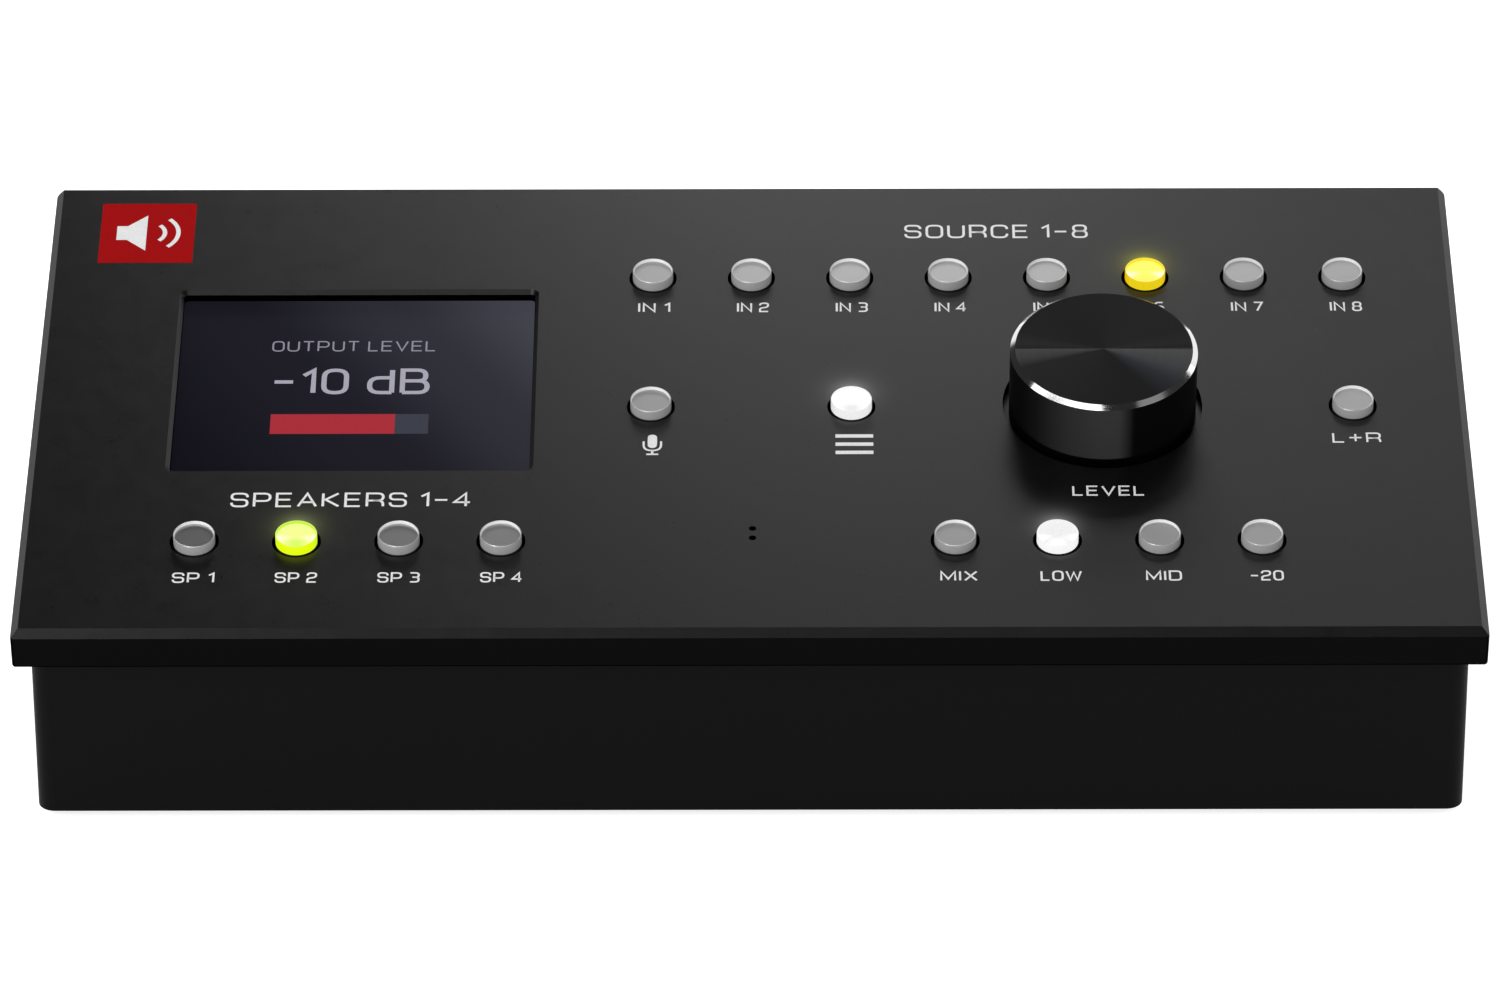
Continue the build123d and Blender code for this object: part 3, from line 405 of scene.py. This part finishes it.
def knob_finish():
    """Turned and anodised, with the tool's fine rings round the axis and a bevel cut bare; its top carries a
    painted sheen, its side painted light and painted shade at its foot.
    """
    made = bpy.data.materials.new("knob_anodised")
    tree = Tree(made)
    geometry = tree.add("NewGeometry")
    offset = tree.vector("SUBTRACT", geometry.outputs["Position"], tuple(KNOB_CENTRE))
    around = tree.vector("CROSS_PRODUCT", tuple(NORMAL), offset)
    height = tree.vector("DOT_PRODUCT", offset, tuple(NORMAL))
    radius = tree.vector("LENGTH", around)
    rings = tree.noise(1.0, detail=3.0, roughness=0.7, vector=tree.add(
        "CombineXYZ", X=tree.math("MULTIPLY", radius, RINGS_PER_METRE),
        Y=tree.math("MULTIPLY", height, RINGS_PER_METRE),
    ).outputs[0])
    disc = tree.span(tree.facing(), *TOP_TILT)
    metal = tree.span(tree.facing(), *SIDE_TILT)
    bare = tree.math("SUBTRACT", metal, disc)
    angle = tree.math("ARCTAN2", tree.vector("DOT_PRODUCT", offset, tuple(UPHILL)),
                      tree.vector("DOT_PRODUCT", offset, RIGHTWARDS))
    turn = tree.span(angle, -pi, pi)
    # Painted shade at the side's foot, and painted light round the side by turn
    above_foot_shade = tree.span(height, FOOT_SHADE_HEIGHT[0] * MM, FOOT_SHADE_HEIGHT[1] * MM)
    satin = tree.mix(above_foot_shade, PAINTED_FOOT_SHADE, tree.ramp(turn, SIDE_PAINTED_LIGHT_STOPS))
    # The top's painted sheen: a painted reflection that changes by turn
    dark = tree.mix(disc, satin, tree.ramp(turn, PAINTED_SHEEN_STOPS))
    ring_shade = tree.ramp(rings, [(NOISE_SPAN[0], grey(0.7)), (NOISE_SPAN[1], WHITE)])
    tint = tree.mix(1.0, dark, ring_shade, "MULTIPLY")
    shader = tree.add(
        "BsdfPrincipled", Base_Color=tree.mix(bare, tint, BARE_METAL), Metallic=metal,
        Specular_IOR_Level=1.0, Anisotropic=0.3, Tangent=tree.vector("NORMALIZE", around),
        Specular_Tint=tree.mix(metal, grey(0.02), WHITE),
        Roughness=tree.mix(bare, tree.span(rings, *NOISE_SPAN, 0.3, 0.38), grey(0.09)),
        Normal=tree.bump(rings, 0.1, 0.00002),
    )
    tree.finish(shader.outputs[0])
    return made


# The screen's dark glow, brightened by a painted reflection from its front left corner to its rear right one
SCREEN_REFLECTION_STOPS = [
    (0.0, (0.0025, 0.0022, 0.0055)), (0.45, (0.0085, 0.008, 0.0135)), (0.72, (0.024, 0.024, 0.034)),
    (1.0, (0.052, 0.052, 0.068)),
]
REFLECTION_LEAN = 0.55
REFLECTION_REACH = 0.78
SCREEN_GLOSS = 0.03


def display_finish():
    """Dark glass whose glow holds a painted reflection."""
    made = bpy.data.materials.new("display_glass")
    tree = Tree(made)
    offset = tree.offset(SCREEN_X, SCREEN_V, SCREEN_N)
    forth = tree.vector("DOT_PRODUCT", offset, tuple(UPHILL))
    along = tree.vector("DOT_PRODUCT", offset, RIGHTWARDS)
    slope = tree.math(
        "ADD", tree.math("MULTIPLY", along, 1 / (SCREEN_WIDTH * MM)),
        tree.math("MULTIPLY", forth, REFLECTION_LEAN / (SCREEN_DEPTH * MM)),
    )
    # A painted reflection in the glow, brightest towards the rear right
    picture = tree.ramp(tree.span(slope, -REFLECTION_REACH, REFLECTION_REACH), SCREEN_REFLECTION_STOPS, "EASE")
    dither = tree.noise(1500, detail=2.0)
    shader = tree.add(
        "BsdfPrincipled", Base_Color=(0.002, 0.002, 0.003, 1), Specular_IOR_Level=SCREEN_GLOSS,
        Roughness=tree.span(dither, *NOISE_SPAN, 0.3, 0.36), Emission_Color=picture, Emission_Strength=1.0,
    )
    tree.finish(shader.outputs[0])
    return made


def plain_glow(name, colour):
    """A lit mark or rim: its own light, slightly uneven."""
    made = bpy.data.materials.new(name)
    tree = Tree(made)
    uneven = tree.span(tree.noise(3000, detail=1.0), 0.35, 0.65)
    shader = tree.add(
        "BsdfPrincipled", Base_Color=(0.004, 0.004, 0.004, 1), Specular_IOR_Level=SCREEN_GLOSS,
        Roughness=0.4, Emission_Strength=1.0,
        Emission_Color=tree.mix(uneven, shade(colour, 0.95), shade(colour, 1.05)),
    )
    tree.finish(shader.outputs[0])
    return made


lit_rims = {node: plain_glow(f"{node}_rim", colour) for node, colour in RIM_GLOWS.items()}
finishes["knob_anodised"] = knob_finish()
finishes["display_glass"] = display_finish()

ink = surface("printed_ink", grey(0.68), 0.55, specular=0.1, grain=2500, colour_swing=0.1, bump=0.2)
badge_red = surface("badge_red", (0.3, 0.002, 0.003), 0.6, specular=0.02, grain=2500, bump=0.2)

for piece in frame["record"]["subparts"]:
    node = piece["node"]
    finish = lit_caps.get(node) or finishes[piece["material_slot"]]
    nodes[node].data.materials.clear()
    nodes[node].data.materials.append(finish)

# -------------------------------------------------------------------------- keys
# The caps are dished: a thin pale rim stands round a satin disc. (radius, height over the
# plate) in mm, from the disc's middle over the rim, down the side, round the flange and
# to the stem.

CAP_PROFILE = [
    (0.0, 1.4), (3.72, 1.4), (3.86, 1.4), (3.9, 1.44), (3.93, 1.98), (3.95, 2.03), (3.98, 2.05),
    (4.03, 2.05), (4.1, 2.0), (4.15, 1.88), (4.15, -0.1), (4.15, -4.05), (5.45, -4.05),
    (5.45, -4.85), (3.15, -4.85), (3.15, 0.1), (1.7, 0.1), (1.7, -7.55), (0.0, -7.55),
]
# Bands between those rings: the rim's inner wall, and what lies below the plate's face, painted black as the shade
# in the gap round the cap
RIM_BANDS = range(2, 5)
GAP_SHADE_BANDS = range(10, len(CAP_PROFILE))
CAP_SEGMENTS = 72
SHARP_ANGLE = radians(35)
WELD_GAP = 0.001


def dished_cap(node, top, rim):
    """A key's cap turned from its profile, in place of its plainer solid."""
    x, v = KEYS[node]
    points, faces, slots = [], [], []
    for radius, height in CAP_PROFILE:
        for i in range(CAP_SEGMENTS):
            a = 2 * pi * i / CAP_SEGMENTS
            points.append(plate_point(x + radius * cos(a), v + radius * sin(a), height))
    for band in range(len(CAP_PROFILE) - 1):
        for i in range(CAP_SEGMENTS):
            j = (i + 1) % CAP_SEGMENTS
            inner, outer = band * CAP_SEGMENTS, (band + 1) * CAP_SEGMENTS
            faces.append([inner + i, outer + i, outer + j, inner + j])
            slots.append(1 if band in RIM_BANDS else 2 if band in GAP_SHADE_BANDS else 0)
    mesh = bpy.data.meshes.new(node + "_dished")
    mesh.from_pydata(points, [], faces)
    # The black finish below the plate's face is painted shade in the gap round the cap
    for finish in (top, rim, finishes["black_plastic"]):
        mesh.materials.append(finish)
    mesh.polygons.foreach_set("material_index", slots)
    form = bmesh.new()
    form.from_mesh(mesh)
    bmesh.ops.remove_doubles(form, verts=form.verts, dist=WELD_GAP * MM)
    bmesh.ops.recalc_face_normals(form, faces=form.faces)
    form.to_mesh(mesh)
    form.free()
    mesh.shade_smooth()
    mesh.set_sharp_from_angle(angle=SHARP_ANGLE)
    made = bpy.data.objects.new(node + "_dished", mesh)
    bpy.context.scene.collection.objects.link(made)
    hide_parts(node)
    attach(made, node + "_body")


for node in KEYS:
    dished_cap(node, lit_caps.get(node, key_finish), lit_rims.get(node, rim_finish))

# --------------------------------------------------------------------- lettering
# Each glyph is a width and its strokes, in units of the letter's height. A point with
# a third value is a sharp corner; the others are rounded. Several glyphs are W wide.

W = 0.78
GLYPHS = {
    " ": (0.08, []),
    "A": (0.86, [[(0, 0), (0.43, 1, 0), (0.86, 0)], [(0.15, 0.32), (0.71, 0.32)]]),
    "B": (0.8, [[(0, 0, 0), (0.8, 0), (0.8, 0.52), (0, 0.52)],
                [(0.5, 0.52), (0.74, 0.52), (0.74, 1), (0, 1, 0), (0, 0, 0)]]),
    "C": (W, [[(W, 0.7), (W, 1), (0, 1), (0, 0), (W, 0), (W, 0.3)]]),
    "D": (W, [[(0, 0, 0), (W, 0), (W, 1), (0, 1, 0), (0, 0)]]),
    "E": (0.7, [[(0.7, 1), (0, 1, 0), (0, 0, 0), (0.7, 0)], [(0, 0.52), (0.64, 0.52)]]),
    "I": (0.0, [[(0, 0), (0, 1)]]),
    "K": (0.76, [[(0, 0), (0, 1)], [(0.74, 1), (0.12, 0.52, 0), (0.76, 0)]]),
    "L": (0.64, [[(0, 1), (0, 0, 0), (0.64, 0)]]),
    "M": (0.95, [[(0, 0), (0, 1, 0), (0.475, 0.16, 0), (0.95, 1, 0), (0.95, 0)]]),
    "N": (0.8, [[(0, 0), (0, 1, 0), (0.8, 0, 0), (0.8, 1)]]),
    "O": (W, [[(0.39, 0), (W, 0), (W, 1), (0, 1), (0, 0), (0.39, 0)]]),
    "P": (0.76, [[(0, 0), (0, 1, 0), (0.76, 1), (0.76, 0.42), (0, 0.42)]]),
    "R": (W, [[(0, 0), (0, 1, 0), (W, 1), (W, 0.44), (0, 0.44)], [(0.3, 0.44), (W, 0.44), (W, 0)]]),
    "S": (0.76, [[(0.76, 0.72), (0.76, 1), (0, 1), (0, 0.52), (0.76, 0.52), (0.76, 0), (0, 0), (0, 0.28)]]),
    "T": (0.76, [[(0, 1), (0.76, 1)], [(0.38, 1), (0.38, 0)]]),
    "U": (W, [[(0, 1), (0, 0), (W, 0), (W, 1)]]),
    "V": (0.84, [[(0, 1), (0.42, 0, 0), (0.84, 1)]]),
    "W": (1.2, [[(0, 1), (0.3, 0, 0), (0.6, 0.9, 0), (0.9, 0, 0), (1.2, 1)]]),
    "X": (0.8, [[(0, 0), (0.8, 1)], [(0, 1), (0.8, 0)]]),
    "d": (0.72, [[(0.72, 1), (0.72, 0)], [(0.72, 0, 0), (0, 0), (0, 0.66), (0.72, 0.66)]]),
    "0": (0.72, [[(0.36, 0), (0.72, 0), (0.72, 1), (0, 1), (0, 0), (0.36, 0)]]),
    "1": (0.32, [[(0, 0.76), (0.32, 1, 0), (0.32, 0)]]),
    "2": (0.7, [[(0, 0.74), (0, 1), (0.7, 1), (0.7, 0.54), (0, 0.4), (0, 0, 0), (0.7, 0)]]),
    "3": (0.7, [[(0, 1), (0.7, 1), (0.7, 0.52), (0.18, 0.52)],
                [(0.4, 0.52), (0.7, 0.52), (0.7, 0), (0, 0)]]),
    "4": (0.76, [[(0.56, 0), (0.56, 1, 0), (0, 0.3, 0), (0.76, 0.3)]]),
    "5": (0.7, [[(0.66, 1), (0.04, 1, 0), (0, 0.56, 0), (0.7, 0.6), (0.7, 0), (0, 0)]]),
    "6": (0.7, [[(0.66, 1), (0, 1), (0, 0), (0.7, 0), (0.7, 0.56), (0, 0.56)]]),
    "7": (0.7, [[(0, 1), (0.7, 1, 0), (0.25, 0)]]),
    "8": (0.7, [[(0.35, 0.52), (0.03, 0.52), (0.03, 1), (0.67, 1), (0.67, 0.52), (0.35, 0.52)],
                [(0.35, 0.52), (0, 0.52), (0, 0), (0.7, 0), (0.7, 0.52), (0.35, 0.52)]]),
    "-": (0.6, [[(0, 0.48), (0.6, 0.48)]]),
    "+": (0.74, [[(0, 0.5), (0.74, 0.5)], [(0.37, 0.1), (0.37, 0.9)]]),
}
# Gap between letters and radius of round corners, in the same units
GLYPH_GAP = 0.34
BOWL = 0.3
CORNER_STEPS = 5
SAME_POINT = 1e-3
# A sharp corner of a stroke's edge lies no further out than half its weight over this
LEAST_MITRE = 0.5


def rounded(points, radius):
    """The polyline with each corner rounded, apart from those marked sharp."""
    out = [Vector(points[0][:2])]
    last = len(points) - 1
    for i in range(1, last):
        here = Vector(points[i][:2])
        back, on = Vector(points[i - 1][:2]) - here, Vector(points[i + 1][:2]) - here
        if len(points[i]) == 3:
            out.append(here)
            continue
        reach = min(radius, back.length / (1 if i == 1 else 2), on.length / (1 if i == last - 1 else 2))
        start, end = here + back.normalized() * reach, here + on.normalized() * reach
        for step in range(CORNER_STEPS + 1):
            t = step / CORNER_STEPS
            out.append(start * (1 - t) ** 2 + here * (2 * t * (1 - t)) + end * t * t)
    out.append(Vector(points[-1][:2]))
    return [p for i, p in enumerate(out) if i == 0 or (p - out[i - 1]).length > SAME_POINT]


def ribbon(points, weight):
    """Left and right edges of a stroke of even weight along a polyline."""
    left, right = [], []
    for i, point in enumerate(points):
        into = (point - points[i - 1]).normalized() if i else (points[1] - point).normalized()
        onto = (points[i + 1] - point).normalized() if i + 1 < len(points) else into
        across = Vector((-(into + onto).y, (into + onto).x)).normalized()
        reach = weight / 2 / max(LEAST_MITRE, across.dot(Vector((-into.y, into.x))))
        left.append(point + across * reach)
        right.append(point - across * reach)
    return left, right


class Relief:
    """Thin closed slabs on the plate's plane, gathered into one mesh."""

    def __init__(self, level, height):
        self.level, self.height = level, height
        self.points, self.faces = [], []

    def slab(self, outline):
        """A closed slab over a convex outline of (x, v) points."""
        first, count = len(self.points), len(outline)
        for n in (self.level, self.level + self.height):
            self.points += [plate_point(p[0], p[1], n) for p in outline]
        self.faces.append([first + i for i in reversed(range(count))])
        self.faces.append([first + count + i for i in range(count)])
        for i in range(count):
            j = (i + 1) % count
            self.faces.append([first + i, first + j, first + count + j, first + count + i])

    def block(self, x_low, x_high, v_low, v_high):
        self.slab([(x_low, v_low), (x_high, v_low), (x_high, v_high), (x_low, v_high)])

    def line(self, start, end, weight):
        self.stroke([Vector(start), Vector(end)], weight)

    def stroke(self, points, weight):
        """A closed slab of even weight along a polyline."""
        left, right = ribbon(points, weight)
        first, count = len(self.points), len(points)
        for n in (self.level, self.level + self.height):
            for side in (right, left):
                self.points += [plate_point(p.x, p.y, n) for p in side]
        low_right, low_left = first, first + count
        top_right, top_left = first + 2 * count, first + 3 * count
        for i in range(count - 1):
            j = i + 1
            self.faces.append([top_right + i, top_right + j, top_left + j, top_left + i])
            self.faces.append([low_left + i, low_left + j, low_right + j, low_right + i])
            self.faces.append([low_right + i, low_right + j, top_right + j, top_right + i])
            self.faces.append([top_left + i, top_left + j, low_left + j, low_left + i])
        last = count - 1
        self.faces.append([low_right, top_right, top_left, low_left])
        self.faces.append([low_left + last, top_left + last, top_right + last, low_right + last])

    def text(self, words, x_low, x_high, v_low, v_high, weight):
        """Words whose outer edges fill the given box, in strokes of the given weight."""
        rise = v_high - v_low - weight
        width = sum(GLYPHS[letter][0] for letter in words) + GLYPH_GAP * (len(words) - 1)
        stretch = (x_high - x_low - weight) / (width * rise)
        x = x_low + weight / 2
        for letter in words:
            glyph_width, strokes = GLYPHS[letter]
            for stroke in strokes:
                placed = [
                    (x + p[0] * rise * stretch, v_low + weight / 2 + p[1] * rise, *p[2:]) for p in stroke
                ]
                self.stroke(rounded(placed, BOWL * rise), weight)
            x += (glyph_width + GLYPH_GAP) * rise * stretch

    def make(self, name, material):
        mesh = bpy.data.meshes.new(name)
        mesh.from_pydata(self.points, [], self.faces)
        mesh.materials.append(material)
        made = bpy.data.objects.new(name, mesh)
        bpy.context.scene.collection.objects.link(made)
        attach(made, "chassis")


INK_HEIGHT = 0.02
LABEL_WEIGHT = 0.42
HEADER_WEIGHT = 0.53
LABEL_SHIFT = 0.35

# Words with the edges of the box that they fill: left, right, front and rear
HEADERS = [
    ("SOURCE 1-8", 31.9, 70.0, 125.3, 129.8),
    ("SPEAKERS 1-4", -103.7, -55.6, 38.5, 43.0),
]
LABELS = [
    ("MIX", 37.6, 45.0, 15.4, 18.5),
    ("LOW", 57.4, 65.6, 15.4, 18.5),
    ("MID", 78.2, 85.3, 15.4, 18.5),
    ("-20", 98.7, 105.4, 15.4, 18.5),
    ("L+R", 117.2, 127.0, 58.2, 61.4),
    ("LEVEL", 64.4, 78.9, 41.65, 44.8),
]
# Numbered labels, LABEL_SHIFT right of their keys' middles: word, keys, how many, half
# their width, front and rear edge
NUMBERED = [("IN", "input_key", 8, 3.3, 100.75, 103.9), ("SP", "output_key", 4, 4.2, 15.2, 18.35)]

print_ink = Relief(0.0, INK_HEIGHT)
for header in HEADERS:
    print_ink.text(*header, HEADER_WEIGHT)
for word, key, count, half_width, front, rear in NUMBERED:
    for i in range(1, count + 1):
        middle = KEYS[f"{key}_{i}"][0] + LABEL_SHIFT
        print_ink.text(f"{word} {i}", middle - half_width, middle + half_width, front, rear, LABEL_WEIGHT)
for label in LABELS:
    print_ink.text(*label, LABEL_WEIGHT)

# Microphone sign below the talkback key: capsule, cradle, stem and foot
MIC_X, MIC_V = -19.65, 59.0
CAPSULE_RADIUS, CAPSULE_HALF, CAPSULE_STEPS = 0.95, 1.15, 24
CRADLE_HALF, CRADLE_V, CRADLE_RADIUS = 1.75, 56.1, 1.7
STEM_TOP, FOOT_V, FOOT_HALF = 56.2, 54.9, 1.2
CRADLE_WEIGHT, STEM_WEIGHT, FOOT_WEIGHT = 0.42, 0.5, 0.45
capsule = []
for i in range(CAPSULE_STEPS):
    a = 2 * pi * i / CAPSULE_STEPS
    end = 0 if i % (CAPSULE_STEPS // 2) == 0 else 1 if sin(a) > 0 else -1
    v = MIC_V + end * CAPSULE_HALF + CAPSULE_RADIUS * sin(a)
    capsule.append((MIC_X + CAPSULE_RADIUS * cos(a), v))
print_ink.slab(capsule)
cradle = [
    (MIC_X - CRADLE_HALF, MIC_V), (MIC_X - CRADLE_HALF, CRADLE_V), (MIC_X + CRADLE_HALF, CRADLE_V),
    (MIC_X + CRADLE_HALF, MIC_V),
]
print_ink.stroke(rounded(cradle, CRADLE_RADIUS), CRADLE_WEIGHT)
print_ink.line((MIC_X, STEM_TOP), (MIC_X, FOOT_V), STEM_WEIGHT)
print_ink.line((MIC_X - FOOT_HALF, FOOT_V), (MIC_X + FOOT_HALF, FOOT_V), FOOT_WEIGHT)
# Three bars below the middle key
BARS_LEFT, BARS_RIGHT, BARS_WEIGHT = 17.2, 24.8, 1.05
BARS_V = (55.4, 58.0, 60.6)
for v in BARS_V:
    print_ink.line((BARS_LEFT, v), (BARS_RIGHT, v), BARS_WEIGHT)
print_ink.make("printed_legends", ink)

# Badge in the rear left corner, with a generic loudspeaker sign: magnet, cone, two waves
BADGE_BOX = (-135.0, -115.45, 117.5, 137.45)
badge = Relief(0.0, INK_HEIGHT)
badge.block(*BADGE_BOX)
badge.make("badge_field", badge_red)
SIGN_V = 127.5
MAGNET_LEFT, MAGNET_RIGHT, MAGNET_HALF = -131.6, -129.4, 2.3
CONE_RIGHT, CONE_HALF = -125.4, 5.9
WAVE_X, WAVE_RADII, WAVE_WEIGHT = -125.0, (3.4, 6.2), 0.9
WAVE_END, WAVE_STEPS = radians(48), 12
sign = Relief(INK_HEIGHT, INK_HEIGHT)
sign.block(MAGNET_LEFT, MAGNET_RIGHT, SIGN_V - MAGNET_HALF, SIGN_V + MAGNET_HALF)
sign.slab([
    (MAGNET_RIGHT, SIGN_V - MAGNET_HALF), (CONE_RIGHT, SIGN_V - CONE_HALF),
    (CONE_RIGHT, SIGN_V + CONE_HALF), (MAGNET_RIGHT, SIGN_V + MAGNET_HALF),
])
wave_angles = [WAVE_END * (2 * i / WAVE_STEPS - 1) for i in range(WAVE_STEPS + 1)]
for radius in WAVE_RADII:
    wave = [Vector((WAVE_X + radius * cos(a), SIGN_V + radius * sin(a))) for a in wave_angles]
    sign.stroke(wave, WAVE_WEIGHT)
sign.make("badge_sign", ink)

# The screen's picture lies on the window's own surface: words with their box and weight,
# and a level bar that is red as far as BAR_END
PICTURE_HEIGHT = 0.01
READING = ("-10 dB", -97.35, -65.2, 77.2, 85.5, 1.05)
TITLE = ("OUTPUT LEVEL", -97.8, -64.3, 91.1, 94.5, 0.36)
BAR_LEFT, BAR_END, BAR_RIGHT = -97.1, -71.9, -65.1
BAR_FRONT, BAR_REAR = 64.5, 70.8
screen_text = Relief(SCREEN_N, PICTURE_HEIGHT)
screen_text.text(*READING)
screen_text.make("screen_reading", plain_glow("screen_light", (0.38, 0.37, 0.44)))
screen_title = Relief(SCREEN_N, PICTURE_HEIGHT)
screen_title.text(*TITLE)
screen_title.make("screen_title", plain_glow("screen_soft_light", (0.26, 0.255, 0.31)))
screen_bar = Relief(SCREEN_N, PICTURE_HEIGHT)
screen_bar.block(BAR_LEFT, BAR_END, BAR_FRONT, BAR_REAR)
screen_bar.make("screen_bar", plain_glow("screen_red", (0.38, 0.022, 0.036)))
screen_rest = Relief(SCREEN_N, PICTURE_HEIGHT)
screen_rest.block(BAR_END, BAR_RIGHT, BAR_FRONT, BAR_REAR)
screen_rest.make("screen_bar_rest", plain_glow("screen_slate", (0.039, 0.042, 0.063)))

# ---------------------------------------------------------------- floor and light

# The floor's own light for what sees it, which with the lamps' light makes it white
PAPER_GLOW = 0.75
FLOOR_HALF = 8.0


def seen_and_mirrored(tree):
    """One for camera rays, then one for rays that a gloss or glass sends on."""
    path = tree.add("LightPath")
    mirrored = tree.math("MAXIMUM", path.outputs["Is Glossy Ray"], path.outputs["Is Transmission Ray"])
    return path.outputs["Is Camera Ray"], mirrored


def floor_finish():
    made = bpy.data.materials.new("studio_floor")
    tree = Tree(made)
    either = tree.math("MAXIMUM", *seen_and_mirrored(tree))
    paper = tree.add("BsdfDiffuse", Color=opaque(grey(0.8)))
    glow = tree.add("Emission", Color=opaque(WHITE), Strength=tree.math("MULTIPLY", either, PAPER_GLOW))
    tree.finish(tree.add("AddShader", i0=paper.outputs[0], i1=glow.outputs[0]).outputs[0])
    return made


floor_mesh = bpy.data.meshes.new("studio_floor")
floor_corners = [(x * FLOOR_HALF, y * FLOOR_HALF, 0) for x, y in ((-1, -1), (1, -1), (1, 1), (-1, 1))]
floor_mesh.from_pydata(floor_corners, [], [(0, 1, 2, 3)])
floor_mesh.materials.append(floor_finish())
floor = bpy.data.objects.new("studio_floor", floor_mesh)
bpy.context.scene.collection.objects.link(floor)

# What gloss mirrors: a pale backdrop that reaches higher on the right and ends low down
# on both sides, and a dark room above it. The camera sees white, and the rest is fill.
BACKDROP_LEAN = 0.15
BACKDROP_STOPS = [(0.0, WHITE), (0.26, WHITE), (0.33, grey(0.03)), (1.0, grey(0.008))]
BACKDROP_SIDES = (-0.54, -0.44)
BESIDE_BACKDROP = grey(0.03)
FILL = 0.8


def backdrop(tree):
    direction = tree.add("SeparateXYZ", Vector=tree.add("TexCoord").outputs["Generated"])
    aside, up = direction.outputs["X"], direction.outputs["Z"]
    height = tree.math("SUBTRACT", up, tree.math("MULTIPLY", aside, BACKDROP_LEAN))
    within = tree.span(tree.math("SUBTRACT", up, tree.math("ABSOLUTE", aside)), *BACKDROP_SIDES)
    return tree.mix(within, BESIDE_BACKDROP, tree.ramp(height, BACKDROP_STOPS))


world = bpy.data.worlds.new("studio")
bpy.context.scene.world = world
tree = Tree(world)
seen, mirrored = seen_and_mirrored(tree)
mirror_light = tree.add("Background", Color=backdrop(tree), Strength=1.0)
fill_light = tree.add("Background", Color=opaque(WHITE), Strength=FILL)
camera_light = tree.add("Background", Color=opaque(WHITE), Strength=1.0)
unseen = tree.add("MixShader", Fac=mirrored, i1=fill_light.outputs[0], i2=mirror_light.outputs[0])
whole = tree.add("MixShader", Fac=seen, i1=unseen.outputs[0], i2=camera_light.outputs[0])
tree.finish(whole.outputs[0], "OutputWorld")

# Lamps by name: place, size and power, all aimed at the object's middle. Small boxes behind
# the object, which its satin faces mirror brighter to the right, then strips and boxes at
# the right and in front, for the bevels and the upright faces.
AIM = Vector((0.0, 0.0, 0.055))
SMALL, BROAD = (0.2, 0.2), (0.25, 0.2)
LAMPS = {
    "rear_box_left": ((-0.09, 0.8, 0.52), SMALL, 0.52),
    "rear_box_middle": ((0.05, 0.8, 0.52), SMALL, 0.36),
    "rear_box_high": ((0.05, 0.62, 0.68), SMALL, 0.17),
    "rear_box_right": ((0.25, 0.62, 0.68), SMALL, 0.16),
    "rear_box_top": ((0.25, 0.42, 0.8), SMALL, 0.085),
    "front_strip_left": ((-0.285, -0.31, 0.72), (1.08, 0.15), 0.9),
    "front_strip_right": ((0.6, -0.22, 0.69), (0.57, 0.15), 0.06),
    "right_box": ((0.83, 0.34, 0.4), BROAD, 0.17),
    "front_box_high": ((-0.55, -0.85, 0.76), BROAD, 1.9),
    "front_box_low": ((-0.65, -1.1, 0.3), (0.6, 0.3), 2.4),
}


def softbox(name, place, size, power):
    data = bpy.data.lights.new(name, "AREA")
    data.shape = "RECTANGLE"
    data.size, data.size_y = size
    data.energy = power
    made = bpy.data.objects.new(name, data)
    made.location = place
    made.rotation_euler = (AIM - Vector(place)).to_track_quat("-Z", "Y").to_euler()
    made.visible_camera = False
    bpy.context.scene.collection.objects.link(made)


for name, (place, size, power) in LAMPS.items():
    softbox(name, place, size, power)

# ------------------------------------------------------------------------- camera
# The camera fitted to the photograph: its focal length in the photograph's pixels, its
# place from the plate's origin in millimetres, and its own directions in the world's frame
FOCAL_PIXELS, PHOTO_WIDTH = 8279.15, 1500
SENSOR_WIDTH = 36.0
CAMERA_PLACE = Vector((5.7902, -1394.4816, 826.8403))
RIGHT = Vector((0.99999245, 0.00218071, -0.00321507))
TOP = Vector((0.0017092, 0.49622252, 0.86819369))
AHEAD = Vector((-0.00348867, 0.86819264, -0.49621505))

camera_data = bpy.data.cameras.new("camera")
camera_data.sensor_width = SENSOR_WIDTH
camera_data.lens = FOCAL_PIXELS / PHOTO_WIDTH * SENSOR_WIDTH
camera_data.clip_start, camera_data.clip_end = 0.05, 50.0
camera = bpy.data.objects.new("camera", camera_data)
turned = Matrix((RIGHT, TOP, -AHEAD)).transposed().to_4x4()
camera.matrix_world = Matrix.Translation(ORIGIN + CAMERA_PLACE * MM) @ turned
bpy.context.scene.collection.objects.link(camera)
bpy.context.scene.camera = camera
bpy.context.scene.view_settings.view_transform = "Standard"
